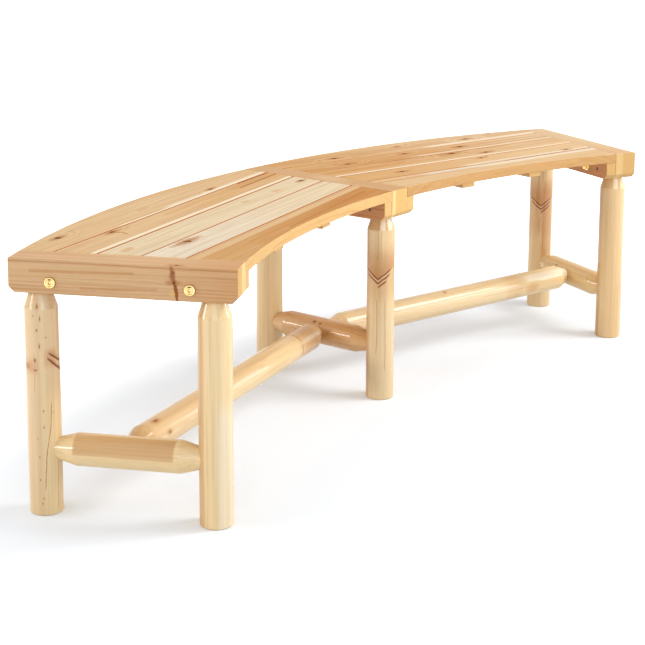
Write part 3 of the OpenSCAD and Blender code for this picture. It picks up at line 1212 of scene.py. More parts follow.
    def _scar(self, scar: Scar) -> tuple[Socket, Socket]:
        """Works out where a scar lies.

        Args:
            scar: The scar.

        Returns:
            The masks of its slanting lines and of the warm wood above them.
        """
        aside, front = self._facing(scar.facing)
        spread = self.math("ABSOLUTE", aside)
        slant = self.math("MULTIPLY_ADD", spread, -scar.slope, self.along)
        sway = self.about(self._noise(LOG_SWAY), self.scar_sway, -scar.height * MM)
        rise = self.math("ADD", slant, sway)
        below = self.times(rise, -1 / (scar.pitch * MM))
        off = self.math("ABSOLUTE", self.math("SUBTRACT", below, self.math("ROUND", below)))
        shorter = self.math("MULTIPLY_ADD", below, self.scar_step, spread)
        line = self.times(
            self.span(off, 0.17, 0.33, 1.0, 0.0),
            self.span(below, -0.5, -0.3),
            self.span(below, scar.lines - 0.5, scar.lines - 0.7),
            self.span(shorter, scar.reach * MM, (scar.reach - 6) * MM),
            front,
        )
        bloom = self.times(
            self.span(rise, 0.0, scar.bloom_height * MM, scar.bloom, 0.0),
            self.span(below, 0.2, -0.3),
            self.span(spread, (scar.reach + 8) * MM, (scar.reach - 3) * MM),
            front,
        )
        if scar.arm:
            half = self.span(aside, -scar.arm * 3 * MM, scar.arm * 3 * MM)
            line, bloom = self.times(line, half), self.times(bloom, half)
        return line, bloom

    def _end_grain(self, rho: Socket) -> None:
        """Paints golden end grain, with the years as fine uneven bands, and pores.

        Args:
            rho: Distance from the pith.
        """
        years = self.math("FRACT", self.times(rho, 1 / self.end_year))
        cloud = self.noise(self.place, END_CLOUDS)["Fac"]
        band = self.times(self.span(years, 0.3, 0.95, 0.0, 0.6), self.span(cloud, 0.35, 0.65, 0.25, 1.0))
        gold = self.blend(band, Tone.END.value, Tone.HEART.value)
        pores = self.span(self.noise(self.place, PORES)["Fac"], 0.58, 0.75, 0.0, 0.45)
        gold = self.blend(pores, gold, Tone.RESIN.value)
        self.colour = self.blend(self.times(self.sawn, self.end_share), self.colour, gold)

    def _varnish(self, late: Socket) -> None:
        """Ends the material in the varnished surface: colour, gloss and relief.

        Args:
            late: The latewood's mask, which stands a little proud.
        """
        fibre = self._noise(FIBRES)
        relief = self.math("MULTIPLY_ADD", fibre, 0.35, self.times(late, 0.25))
        relief = self.math("SUBTRACT", relief, self.times(self.dents, 1.4))
        feeds = {
            "Base Color": self.colour,
            "Roughness": self.span(fibre, 0.2, 0.8, 0.36, 0.52),
            "IOR": 1.5,
            "Specular IOR Level": self.finish.sheen,
            "Coat Weight": self.finish.coat,
            "Coat Roughness": self.finish.coat_roughness,
            "Coat IOR": 1.58,
            "Normal": self.bump(relief, 0.5, 0.3 * MM),
        }
        self.surface(self.node("ShaderNodeBsdfPrincipled", feeds))


BOARD_FINISH = WoodFinish(
    "board_varnish", "board_wood", ring_gap=5.2 * MM, ring_depth=0.32, fibre_depth=0.08, flecks=0.14,
    mottle=0.22, wander=10 * MM, coat=0.02, coat_roughness=0.25, sheen=0.0, groove=1.0,
)
BEAM_FINISH = WoodFinish(
    "beam_varnish", "beam_wood", ring_gap=4.4 * MM, ring_depth=0.30, fibre_depth=0.10, flecks=0.14,
    mottle=0.26, wander=8 * MM, coat=0.04, coat_roughness=0.25, sheen=0.02, groove=0.0,
)
CLEAT_FINISH = WoodFinish(
    "cleat_varnish", "cleat_wood", ring_gap=4.4 * MM, ring_depth=0.34, fibre_depth=0.10, flecks=0.14,
    mottle=0.28, wander=8 * MM, coat=0.1, coat_roughness=0.25, sheen=0.1, groove=0.0,
)
LOG_FINISH = WoodFinish(
    "log_varnish", "log_wood", ring_gap=3.4 * MM, ring_depth=0.13, fibre_depth=0.06, flecks=0.05,
    mottle=0.20, wander=3 * MM, coat=0.65, coat_roughness=0.06, sheen=0.0, groove=0.0,
)


@dataclass(frozen=True)
class MetalFinish:
    """Metal with a fine unevenness in its polish; a bolt's head has stamped patina and a painted reflection.

    rings are the darker ones round a head, each as its radius and width in metres and its share, and
    spot is the height of a painted dark green reflection above its middle.
    """

    name: str
    slot: str
    colour: Rgb
    dull: Rgb
    roughness: float
    rings: tuple[Triple, ...] = ()
    spot: float | None = None
    patina: Rgb = linear(150, 88, 34)
    green: Rgb = linear(60, 84, 40)

    def dress(self, piece: bpy.types.Object) -> None:
        """Gives a piece this finish.

        Args:
            piece: The piece.
        """
        graph = Material(f"{self.name}_{piece.name}")
        place = graph.attribute(GRAIN, "Vector")
        cloud = graph.noise(place, POLISH)["Fac"]
        colour = graph.blend(graph.span(cloud, 0.4, 0.75), self.colour, self.dull)
        out = graph.vector("LENGTH", graph.vector("MULTIPLY", place, (0.0, 1.0, 1.0)))
        for radius, width, share in self.rings:
            away = graph.math("ABSOLUTE", graph.math("SUBTRACT", out, radius))
            colour = graph.blend(graph.span(away, width * 0.4, width * 1.3, share, 0.0), colour, self.patina)
        # painted reflection: a dark green speck above the head's middle
        if self.spot is not None:
            flat = graph.vector("MULTIPLY", place, (0.0, 0.42, 1.0))
            away = graph.vector("DISTANCE", flat, (0.0, 0.0, self.spot))
            colour = graph.blend(graph.span(away, 1.1 * MM, 1.8 * MM, 0.95, 0.0), colour, self.green)
        feeds = {
            "Base Color": colour,
            "Metallic": 1.0,
            "Roughness": graph.span(cloud, 0.3, 0.7, self.roughness, self.roughness + 0.12),
            "Normal": graph.bump(cloud, 0.25, 0.05 * MM),
        }
        graph.surface(graph.node("ShaderNodeBsdfPrincipled", feeds))
        graph.dress(piece)


BRASS = MetalFinish("brass", "brass", linear(250, 226, 160), linear(232, 196, 120), 0.24)
# its spot is a painted reflection on each head
BRASS_HEAD = MetalFinish(
    "brass_head", "brass", linear(244, 212, 150), linear(222, 180, 108), 0.26,
    rings=((9.9 * MM, 0.9 * MM, 0.75), (6.2 * MM, 0.7 * MM, 0.55), (2.6 * MM, 0.9 * MM, 0.7)), spot=5.8 * MM,
)
SCREW_STEEL = MetalFinish("screw_steel", "screw_steel", linear(120, 96, 76), linear(70, 52, 40), 0.45)


def seat(piece: bpy.types.Object, *nodes: str) -> None:
    """Fixes a piece to the bench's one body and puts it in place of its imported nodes.

    Args:
        piece: The piece.
        *nodes: The nodes that it stands for.
    """
    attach(piece, "root")
    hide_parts(*nodes)
    log.info("%s: %d faces", piece.name, len(piece.data.polygons))


# ------------ the pieces


def bevelled_bar(start: float, stop: float, low: float, high: float, bevel: float) -> Points:
    """Side view, as (along, up), of a bar from start to stop and low to high with bevelled lower corners."""
    foot = [(start, low + bevel), (start + bevel, low), (stop - bevel, low), (stop, low + bevel)]
    return foot + [(stop, high), (start, high)]


def drilled(stop: Vector, inward: Vector, diameter: float, depth: float) -> Form:
    """A drill that comes from outside and stops at a point.

    Args:
        stop: Where it stops.
        inward: Which way it goes.
        diameter: Its diameter.
        depth: How far it reaches back from the point.

    Returns:
        The form to cut out.
    """
    form = Form().turned([(-depth, diameter / 2), (0.0, diameter / 2)], 32)
    turn = Vector((1, 0, 0)).rotation_difference(inward).to_matrix().to_4x4()
    form.mesh.transform(Matrix.Translation(stop) @ turn)
    return form


def timber(
    name: str, form: Form, place: Matrix, finish: WoodFinish, grain: Grain, holes: Iterable[Form] = ()
) -> None:
    """Makes one sawn piece of the bench.

    Args:
        name: Its node.
        form: Its shape.
        place: Its grain frame.
        finish: Its finish.
        grain: Its wood.
        holes: What is cut out of it.
    """
    piece = form.finish(f"{name}_wood", place, holes)
    finish.dress(piece, grain)
    seat(piece, name)


def peeled_log(name: str, profile: Points, place: Matrix, grain: Grain, shaved: float) -> None:
    """Makes one log, with the uneven surface that a drawknife leaves.

    Args:
        name: Its node.
        profile: Its (along, radius) points from one end to the other.
        place: Its grain frame.
        grain: Its wood.
        shaved: Depth of the unevenness in millimetres.
    """
    draw = random.Random(grain.seed)
    waves = [(draw.randint(2, 9), draw.uniform(4, 22), draw.uniform(0, math.tau)) for _ in range(5)]

    def shape(along: float, angle: float, radius: float) -> float:
        """The log's radius at a place on it."""
        total = sum(math.cos(n * angle + k * along + p) for n, k, p in waves) / len(waves)
        return radius - shaved * MM * (1 + total) / 2

    piece = Form(LOG_SAWN).turned(profile, LOG_SIDES, shape).finish(f"{name}_log", place)
    LOG_FINISH.dress(piece, grain)
    seat(piece, name)


@dataclass
class BeamWork:
    """One beam with the cleats bolted to its sides."""

    layout: Layout
    side: Side
    grain: Grain
    cleat_grain: Grain
    arris: float = 1.4 * MM
    cleat_arris: float = 1.12 * MM
    hole_d: float = 7.6 * MM
    hole_depth: float = 5.0 * MM
    hole_start: float = 3.0 * MM
    recess_d: float = 11.0 * MM

    def build(self) -> None:
        """Makes the beam and its cleats."""
        at = self.layout
        name = f"{self.side.word}_beam"
        outline = bevelled_bar(at.inner_r, at.outer_r, at.beam_bottom, at.seat_h, at.end_bevel)
        form = Form().prism(outline, -at.beam_w / 2, at.beam_w / 2, True).ease(self.arris)
        timber(name, form, at.along_beam(self.side), BEAM_FINISH, self.grain)
        if self.side is Side.MIDDLE:
            self._cleat("middle_beam_left_cleat", -1, Side.LEFT)
            self._cleat("middle_beam_right_cleat", 1, Side.RIGHT)
        else:
            self._cleat(f"{name}_cleat", 1 if self.side is Side.LEFT else -1, self.side)

    def _cleat(self, name: str, facing: int, panel: Side) -> None:
        """Makes a cleat.

        Args:
            name: Its node.
            facing: 1 on the beam's right, -1 on its left.
            panel: The panel whose boards it carries.
        """
        at = self.layout
        start, stop = at.inner_r + at.board_gap, at.outer_r - at.board_gap
        outline = bevelled_bar(start, stop, at.beam_bottom, at.board_bottom, at.end_bevel)
        place = at.along_beam(self.side, facing * at.cleat_middle)
        form = Form().prism(outline, -at.cleat_w / 2, at.cleat_w / 2, True).ease(self.cleat_arris)
        timber(name, form, place, CLEAT_FINISH, self.cleat_grain, self._holes(place, facing, panel))

    def _holes(self, place: Matrix, facing: int, panel: Side) -> list[Form]:
        """Makes the holes for the screws that start in a cleat.

        Args:
            place: The cleat's grain frame.
            facing: 1 on the beam's right, -1 on its left.
            panel: The panel whose boards it carries.

        Returns:
            The drills, in the cleat's grain frame.
        """
        at = self.layout
        end = Side.LEFT if facing == 1 else Side.RIGHT
        into = place.inverted()
        holes = []
        for index in range(1, at.boards + 1):
            head = into @ at.panel_frame(panel) @ at.end_screw(end, index)
            holes.append(drilled(head, UP, self.recess_d, at.end_recess + MM))
        if self.side is not Side.MIDDLE or facing == -1:
            for row in Row:
                screw = into @ at.tenon_screw(self.side, row)
                inward = screw.to_3x3() @ UP
                stop = screw.translation + inward * self.hole_start
                holes.append(drilled(stop, inward, self.hole_d, self.hole_depth))
        return holes


@dataclass
class SeatPanel:
    """Five boards and two battens between a pair of beams."""

    layout: Layout
    side: Side
    boards: Sequence[Grain]
    batten: Grain
    arris: float = 1.25 * MM
    batten_arris: float = 0.9 * MM
    arc_steps: int = 44
    hole_d: float = 7.6 * MM
    hole_depth: float = 5 * MM
    hole_start: float = 3 * MM

    def build(self) -> None:
        """Makes the panel's boards and battens."""
        for index in range(1, self.layout.boards + 1):
            self._board(index)
        for number, end in ((1, Side.LEFT), (2, Side.RIGHT)):
            self._batten(number, end)

    def _end_x(self, y: float) -> float:
        """Where a board's end lies on the panel's line y, beside the beam's face."""
        half, face = self.layout.half_angle, self.layout.beam_w / 2 + self.layout.board_gap
        return y * math.tan(half) - face / math.cos(half)

    def _edge(self, line: Callable[[float], float], curved: bool) -> Points:
        """Follows a board's edge from its left end to its right end.

        Args:
            line: The edge's y at a place x in the panel's frame.
            curved: Whether it is an arc.

        Returns:
            Its points.
        """
        x = self._end_x(line(0.0))
        for _ in range(8):  # closes in on where the edge meets the beam's face
            x = self._end_x(line(x))
        steps = self.arc_steps if curved else 1
        return [(u, line(u)) for u in (x * (2 * k / steps - 1) for k in range(steps + 1))]

    def _board(self, index: int) -> None:
        """Makes one board.

        Args:
            index: Its number, from 1 at the outer one.
        """
        at = self.layout
        half_gap = at.board_gap / 2

        def inner(x: float) -> float:
            """The board's inner edge."""
            return at.arc_y(at.inner_r, x) if index == at.boards else at.groove(index) + half_gap

        def outer(x: float) -> float:
            """The board's outer edge."""
            return at.arc_y(at.outer_r, x) if index == 1 else at.groove(index - 1) - half_gap

        near = self._edge(inner, index == at.boards)
        far = self._edge(outer, index == 1)
        middle = at.groove(index) + at.board_pitch / 2
        outline = [(a, c - middle) for a, c in near + far[::-1]]
        form = Form().prism(outline, at.board_bottom - at.seat_h, 0.0).ease(self.arris)
        self._mark_edges(form, index, inner(0.0) - middle, outer(0.0) - middle)
        place = at.along_panel(self.side, middle, at.seat_h)
        timber(f"{self.side.word}_board_{index}", form, place, BOARD_FINISH, self.boards[index - 1])

    def _mark_edges(self, form: Form, index: int, inner: float, outer: float) -> None:
        """Marks the arrises beside a board's grooves, and the curved edge of the first or last board.

        Args:
            form: The board's form.
            index: Its number.
            inner: Where its inner edge lies.
            outer: Where its outer edge lies.
        """
        grooves = ([] if index == self.layout.boards else [inner]) + ([] if index == 1 else [outer])
        reach = self.arris * 0.95
        form.mark(EASED, lambda place, normal: place.z > -self.arris and abs(normal.x) < 0.3
                  and any(abs(place.y - groove) < reach for groove in grooves))
        if index in (1, self.layout.boards):
            way = 1 if index == 1 else -1
            form.mark(ARC, lambda place, normal: normal.y * way > 0.5 and abs(normal.z) < 0.8)

    def _batten(self, number: int, end: Side) -> None:
        """Makes one batten, with recesses for its screws.

        Args:
            number: Its number.
            end: The end of the panel that it lies near.
        """
        at = self.layout
        x = at.batten_x(end)
        start = at.inner_r + at.batten_setback
        stop = at.arc_y(at.outer_r, x) - at.batten_setback
        outline = bevelled_bar(start, stop, at.board_bottom - at.batten_t, at.board_bottom, at.batten_bevel)
        turn = Matrix.Translation((x, 0, 0)) @ OUTWARDS
        form = Form().prism(outline, -at.batten_w / 2, at.batten_w / 2, True).ease(self.batten_arris)
        heads = [turn.inverted() @ at.batten_screw(end, index) for index in range(1, at.boards + 1)]
        holes = [drilled(head + UP * self.hole_start, UP, self.hole_d, self.hole_depth) for head in heads]
        place = at.panel_frame(self.side) @ turn
        timber(f"{self.side.word}_panel_batten_{number}", form, place, CLEAT_FINISH, self.batten, holes)


@dataclass(frozen=True)
class LogEnd:
    """The cone and the tenon at both ends of a log that is joined between two others."""

    taper: float
    skin_d: float
    tenon_d: float
    tenon_in: float
    rounding: float = 0.5 * MM

    def profile(self, log_d: float, skin: float, ring_step: float) -> Points:
        """Works out the log.

        Args:
            log_d: Its full diameter.
            skin: Distance from its middle to the other logs' skins.
            ring_step: Greatest distance between two rings of its mesh.

        Returns:
            Its (along, radius) points from one end to the other.
        """
        slope = self.taper / (log_d - self.skin_d)
        half = [
            (skin - self.taper, log_d / 2),
            (skin + slope * (self.skin_d - self.tenon_d), self.tenon_d / 2),
            (skin + self.tenon_in, self.tenon_d / 2),
        ]
        return softened([(-a, r) for a, r in half[::-1]] + half, self.rounding, ring_step)


@dataclass
class LogWork:
    """A beam's two round legs and the short log between them."""

    layout: Layout
    side: Side
    legs: tuple[Grain, Grain]
    cross: Grain
    leg_shaved: tuple[float, float] = (0.15, 0.15)
    cross_shaved: float = 0.25
    leg_taper: float = 29 * MM
    leg_top_d: float = 39.5 * MM
    leg_tenon_d: float = 34 * MM
    leg_tenon_h: float = 38 * MM
    leg_shoulder: float = 0.4 * MM
    foot_bevel: float = 2 * MM
    rounding: float = 0.5 * MM
    cross_end: LogEnd = LogEnd(31 * MM, 41.5 * MM, 38 * MM, 36 * MM)
    ring_step: float = 9 * MM

    def build(self) -> None:
        """Makes both legs and the cross stretcher."""
        for row, grain, shaved in zip(Row, self.legs, self.leg_shaved):
            self._leg(row, grain, shaved)
        at = self.layout
        skin = (at.leg_r(Row.OUTER) - at.leg_r(Row.INNER) - at.leg_d) / 2
        profile = self.cross_end.profile(at.stretcher_d, skin, self.ring_step)
        place = at.along_beam(self.side, 0.0, at.stretcher_z, at.cross_r)
        peeled_log(f"{self.side.word}_cross_stretcher", profile, place, self.cross, self.cross_shaved)

    def _leg(self, row: Row, grain: Grain, shaved: float) -> None:
        """Makes one leg, from its foot to the top of its tenon.

        Args:
            row: Which of the two.
            grain: Its wood.
            shaved: Depth of its unevenness in millimetres.
        """
        at = self.layout
        radius, top = at.leg_d / 2, at.beam_bottom
        corners = [
            (0.0, radius - self.foot_bevel),
            (self.foot_bevel, radius),
            (top - self.leg_taper, radius),
            (top, self.leg_top_d / 2),
            (top + self.leg_shoulder, self.leg_tenon_d / 2),
            (top + self.leg_tenon_h, self.leg_tenon_d / 2),
        ]
        profile = softened(corners, self.rounding, self.ring_step)
        place = at.upright(self.side, at.leg_r(row))
        peeled_log(f"{self.side.word}_{row.name.lower()}_leg", profile, place, grain, shaved)


@dataclass
class LongStretcher:
    """A long log between two cross stretchers."""

    layout: Layout
    side: Side
    grain: Grain
    shaved: float = 0.3
    end: LogEnd = LogEnd(29 * MM, 38 * MM, 30 * MM, 21 * MM)
    ring_step: float = 10 * MM

    def build(self) -> None:
        """Makes the log, with the cones that end in its tenons."""
        at = self.layout
        out = (at.cross_r + at.long_shift) * math.cos(at.half_angle)
        skin = out * math.tan(at.half_angle) - at.stretcher_d / 2 / math.cos(at.half_angle)
        profile = self.end.profile(at.stretcher_d, skin, self.ring_step)
        place = at.along_panel(self.side, out, at.stretcher_z)
        peeled_log(f"{self.side.word}_long_stretcher", profile, place, self.grain, self.shaved)


@dataclass
class Fasteners:
    """Brass bolts, washers and nuts, and the steel screws."""

    layout: Layout
    bolt_d: float = 8 * MM
    head_d: float = 20 * MM
    head_t: float = 3 * MM
    socket_w: float = 5 * MM
    washer_t: float = 1.6 * MM
    washer_play: float = 0.1 * MM
    washer_edge: float = 0.3 * MM
    nut_w: float = 13 * MM
    nut_h: float = 6.5 * MM
    nut_play: float = 0.05 * MM
    thread_end: float = 2 * MM
    thread_pitch: float = 1 * MM
    thread_depth: float = 0.45 * MM
    screw_d: float = 4 * MM
    screw_head_d: float = 7 * MM
    screw_tip: float = 5 * MM
    screw_cross: float = 1.2 * MM
    cone: float = 2.6 * MM
    sunk: float = 0.4 * MM
    tenon_screw_l: float = 50 * MM
    end_screw_l: float = 40 * MM
    batten_screw_l: float = 28 * MM
    sides: int = 48
    nut_sides: int = 72

    def build(self) -> None:
        """Makes every fastener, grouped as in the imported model."""
        at = self.layout
        ends, middle, washers, nuts = [], [], [], []
        for side in Side:
            grip = at.beam_w + at.cleat_w * (2 if side is Side.MIDDLE else 1)
            for radius in at.bolt_rs:
                place = self._bolt_place(side, radius)
                (middle if side is Side.MIDDLE else ends).append((self._bolt(grip), place))
                far = place @ Matrix.Translation((grip, 0, 0))
                washers.append((self._washer(), far))
                nuts.append((self._nut(), far @ Matrix.Translation((self.washer_t, 0, 0))))
        self._group("end_beam_bolts", ends, BRASS_HEAD)
        self._group("middle_beam_bolts", middle, BRASS_HEAD)
        self._group("bolt_washers", washers, BRASS)
        self._group("bolt_nuts", nuts, BRASS)
        spots = [at.tenon_screw(side, row) @ UPWARDS for side, row in itertools.product(Side, Row)]
        tenon = [(self._screw(self.tenon_screw_l), place) for place in spots]
        self._group("leg_tenon_screws", tenon, SCREW_STEEL)
        for name, length, spot in (
            ("board_end_screws", self.end_screw_l, at.end_screw),
            ("batten_screws", self.batten_screw_l, at.batten_screw),
        ):
            made = []
            for panel, end in itertools.product((Side.LEFT, Side.RIGHT), repeat=2):
                for index in range(1, at.boards + 1):
                    place = at.panel_frame(panel) @ Matrix.Translation(spot(end, index)) @ UPWARDS
                    made.append((self._screw(length), place))
            self._group(name, made, SCREW_STEEL)

    def _bolt_place(self, side: Side, radius: float) -> Matrix:
        """Works out the frame on the outer face under a bolt's head.

        Args:
            side: The beam.
            radius: The bolt's plan radius.

        Returns:
            A frame whose along axis points inwards and whose up axis stays up.
        """
        at = self.layout
        inward = -1 if side is Side.RIGHT else 1
        face = -at.beam_w / 2 - (at.cleat_w if side is Side.MIDDLE else 0)
        turn = Matrix.Rotation(0.0 if inward == 1 else math.pi, 4, "Z")
        return at.beam_frame(side) @ Matrix.Translation((inward * face, radius, at.bolt_z)) @ turn

    def _bolt(self, grip: float) -> Form:
        """Makes a flat-headed bolt: rim, ring groove, raised boss with a round socket, shank and thread.

        Args:
            grip: Thickness of the timber that it goes through.

        Returns:
            Its form.
        """
        rim, top = self.head_d / 2, -self.head_t
        socket, shank = self.socket_w / 2, self.bolt_d / 2
        profile = [
            (top + 1.7 * MM, 0.01 * MM),
            (top + 1.6 * MM, socket * 0.9),
            (top + 0.25 * MM, socket),
            (top + 0.05 * MM, socket + 0.3 * MM),
            (top + 0.1 * MM, socket + 1.3 * MM),
            (top + 0.55 * MM, socket + 1.9 * MM),
            (top + 0.6 * MM, rim - 4.0 * MM),
            (top + 0.15 * MM, rim - 3.2 * MM),
            (top, rim - 2.6 * MM),
            (top + 0.05 * MM, rim - 1.3 * MM),
            (top + 0.5 * MM, rim - 0.35 * MM),
            (top + 1.2 * MM, rim),
            (-0.3 * MM, rim),
            (0.0, rim - 0.2 * MM),
            (0.05 * MM, shank),
        ]
        reach = grip + self.washer_t + self.nut_h
        profile.append((reach, shank))
        for turn in range(round(self.thread_end / self.thread_pitch)):
            start = reach + turn * self.thread_pitch
            profile.append((start + self.thread_pitch * 0.3, shank - self.thread_depth))
            profile.append((start + self.thread_pitch * 0.8, shank))
        profile.append((reach + self.thread_end, shank - 0.6 * MM))
        return Form().turned(profile, self.sides)

    def _washer(self) -> Form:
        """Makes a round washer with eased rims.

        Returns:
            Its form.
        """
        rim, thick, edge = self.head_d / 2, self.washer_t, self.washer_edge
        bore = self.bolt_d / 2 + self.washer_play
        near = [(0, bore), (0, rim - edge), (edge, rim)]
        section = near + [(thick - edge, rim), (thick, rim - edge), (thick, bore)]
        return Form().turned(section, self.sides, closed=True)

    def _nut(self) -> Form:
        """Makes a hexagon nut with chamfered corners.

        Returns:
            Its form.
        """
        flat, tall, bore = self.nut_w / 2, self.nut_h, self.bolt_d / 2 + self.nut_play
        sixth = math.pi / 3

        def hexagon(along: float, angle: float, radius: float) -> float:
            """Radius of the chamfered hexagon, or of the bore."""
            turn = (angle + sixth / 2) % sixth - sixth / 2
            return min(radius, flat / math.cos(turn), flat * 0.97 + min(along, tall - along) * 1.6)

        corner = flat / math.cos(sixth / 2)
        steps = [0.0, 0.35 * MM, 0.7 * MM, tall / 2, tall - 0.7 * MM, tall - 0.35 * MM, tall]
        section = [(0.0, bore)] + [(step, corner) for step in steps] + [(tall, bore)]
        return Form().turned(section, self.nut_sides, hexagon, closed=True)

    def _screw(self, length: float) -> Form:
        """Makes a countersunk screw with a cross recess, which points along its frame's along axis.

        Args:
            length: Its length.

        Returns:
            Its form.
        """
        head, shank, sunk = self.screw_head_d / 2, self.screw_d / 2, self.sunk
        radii = [0.15, 0.45, 0.7, 1.0, 1.35, 1.7, 2.1, 2.5, 2.9]
        profile = [(sunk, r * MM) for r in radii] + [
            (sunk, head - 0.25 * MM),
            (sunk + 0.2 * MM, head),
            (self.cone, shank),
            (length - self.screw_tip, shank),
            (length, 0.4 * MM),
        ]
        form = Form().turned(profile, self.sides)
        for vert in form.mesh.verts:
            narrow, wide = sorted((abs(vert.co.y) / MM, abs(vert.co.z) / MM))
            if abs(vert.co.x - sunk) < 1e-7 and narrow < 0.5 and wide < 2.2:
                vert.co.x += self.screw_cross * (1 - wide / 3.0)
        return form

    def _group(self, name: str, made: Sequence[tuple[Form, Matrix]], finish: MetalFinish) -> None:
        """Joins identical fasteners into one piece.

        Args:
            name: The node that it stands for.
            made: Each fastener's form and place.
            finish: Its finish.
        """
        parts = [form.finish(f"{name}_{k}", place) for k, (form, place) in enumerate(made)]
        first = parts[0]
        with bpy.context.temp_override(
            active_object=first, selected_objects=parts, selected_editable_objects=parts, object=first
        ):
            bpy.ops.object.join()
        first.name = f"{name}_set"
        first.data.name = first.name
        finish.dress(first)
        seat(first, name)


# ------------ the studio


@dataclass(frozen=True)
class Lamp:
    """A soft box: where it stands, where it points, its size and its power in watts."""

    name: str
    place: Triple
    target: Triple
    size: tuple[float, float]
    power: float
    colour: Triple = (1.0, 1.0, 1.0)


@dataclass(frozen=True)
class Studio:
    """White floor and surroundings, soft boxes and the camera; sizes in metres, angles in radians.

    The floor's glow grows from the first to the second of floor_glow over the distances glow_reach from
    the point that glow_shift gives, measured with the stretch glow_shape.
    """

    ambient: float = 0.62
    floor_half: float = 40.0
    floor_drop: float = 0.2 * MM
    floor_tone: Triple = (0.72, 0.757, 0.80)
    floor_glow: tuple[float, float] = (0.18, 1.0)
    glow_reach: tuple[float, float] = (0.85, 1.5)
    glow_shape: tuple[float, float] = (0.8, 1.6)
    glow_shift: float = 0.2
    focal: float = 84.67
    sensor: float = 36.0
    camera_place: Triple = (-2.5295, -1.8761, 1.0714)
    yaw: float = 0.9094
    pitch: float = 0.1786
    roll: float = 0.0033
    shift_y: float = -0.25
    lamps: tuple[Lamp, ...] = (
        Lamp("key", (1.90, -2.52, 2.76), (0.0, 0.0, 0.3), (1.6, 1.6), 86.0),
        Lamp("low fill", (-3.05, -2.37, 1.33), (0.0, 0.0, 0.3), (2.0, 2.0), 25.0),
        Lamp("low right", (1.75, -2.25, 0.85), (-0.1, 0.0, 0.2), (1.1, 0.8), 10.5, (0.9, 1.0, 1.08)),
        Lamp("back left", (-2.85, 2.45, 1.30), (0.0, 0.0, 0.3), (2.2, 0.55), 48.0),
        Lamp("top", (-0.2, 0.7, 3.3), (0.0, 0.0, 0.3), (2.5, 2.5), 12.0),
        Lamp("right strip", (0.36, -1.1, 0.64), (-0.2, -0.1, 0.4), (0.1, 0.5), 3.0),
        Lamp("right sheen", (2.45, -0.98, 0.55), (-0.3, 0.0, 0.12), (0.55, 0.8), 4.2),
        Lamp("left glint", (-3.49, 1.2, 0.87), (-0.83, 0.0, 0.13), (0.2, 0.5), 4.7),
    )

    def build(self) -> None:
        """Sets up the whole studio."""
        self._view()
        self._world()
        self._floor()
        for lamp in self.lamps:
            self._lamp(lamp)
        self._camera()

    @staticmethod
    def _view() -> None:
        """Plain colours, without a film look."""
        bpy.context.scene.view_settings.view_transform = "Standard"

    @staticmethod
    def _seen(graph: Graph) -> Socket:
        """Tells apart the rays that see the surroundings: from the camera, off gloss or through glass.

        Args:
            graph: The graph that asks.

        Returns:
            1 for those rays, 0 for the others.
        """
        path = graph.node("ShaderNodeLightPath").outputs
        rays = [path[f"Is {kind} Ray"] for kind in ("Camera", "Glossy", "Transmission")]
        return reduce(lambda first, second: graph.math("MAXIMUM", first, second), rays)

    def _world(self) -> None:
        """White surroundings, dimmer where they only light the bench."""
        world = bpy.data.worlds.new("studio")
        bpy.context.scene.world = world
        world.use_nodes = True
        graph = Graph(world.node_tree)
        feeds = {"Value": self._seen(graph), "To Min": self.ambient, "To Max": 1.0}
        strength = graph.node("ShaderNodeMapRange", feeds).outputs["Result"]
        shade = graph.node("ShaderNodeBackground", {"Color": (1.0, 1.0, 1.0, 1.0), "Strength": strength})
        graph.node("ShaderNodeOutputWorld", {"Surface": shade.outputs[0]})

    def _floor(self) -> None:
        """Lays a white floor that keeps the bench's soft shadow and glows away from it."""
        half = self.floor_half
        mesh = bpy.data.meshes.new("floor")
        corners = [(-half, -half, 0), (half, -half, 0), (half, half, 0), (-half, half, 0)]
        mesh.from_pydata(corners, [], [(0, 1, 2, 3)])
        floor = bpy.data.objects.new("floor", mesh)
        floor.location.z = -self.floor_drop
        bpy.context.scene.collection.objects.link(floor)
        graph = Material("floor_white")
        matt = graph.node("ShaderNodeBsdfDiffuse", {"Color": (*self.floor_tone, 1.0)})
        place = graph.node("ShaderNodeTexCoord").outputs["Object"]
        moved = graph.vector("ADD", place, (0.0, self.glow_shift, 0.0))
        away = graph.vector("LENGTH", graph.vector("MULTIPLY", moved, (*self.glow_shape, 0.0)))
        strength = graph.times(self._seen(graph), graph.span(away, *self.glow_reach, *self.floor_glow))
        glow = graph.node("ShaderNodeEmission", {"Color": (1.0, 1.0, 1.0, 1.0), "Strength": strength})
        graph.surface(graph.node("ShaderNodeAddShader", {0: matt.outputs[0], 1: glow.outputs[0]}))
        mesh.materials.append(graph.material)

    def _lamp(self, lamp: Lamp) -> None:
        """Hangs one soft box.

        Args:
            lamp: The lamp.
        """
        data = bpy.data.lights.new(lamp.name, "AREA")
        data.shape = "RECTANGLE"
        data.size, data.size_y = lamp.size
        data.energy = lamp.power
        data.color = lamp.colour
        box = bpy.data.objects.new(lamp.name, data)
        bpy.context.scene.collection.objects.link(box)
        box.visible_camera = False
        box.location = lamp.place
        aim = Vector(lamp.target) - Vector(lamp.place)
        box.rotation_euler = aim.to_track_quat("-Z", "Y").to_euler()

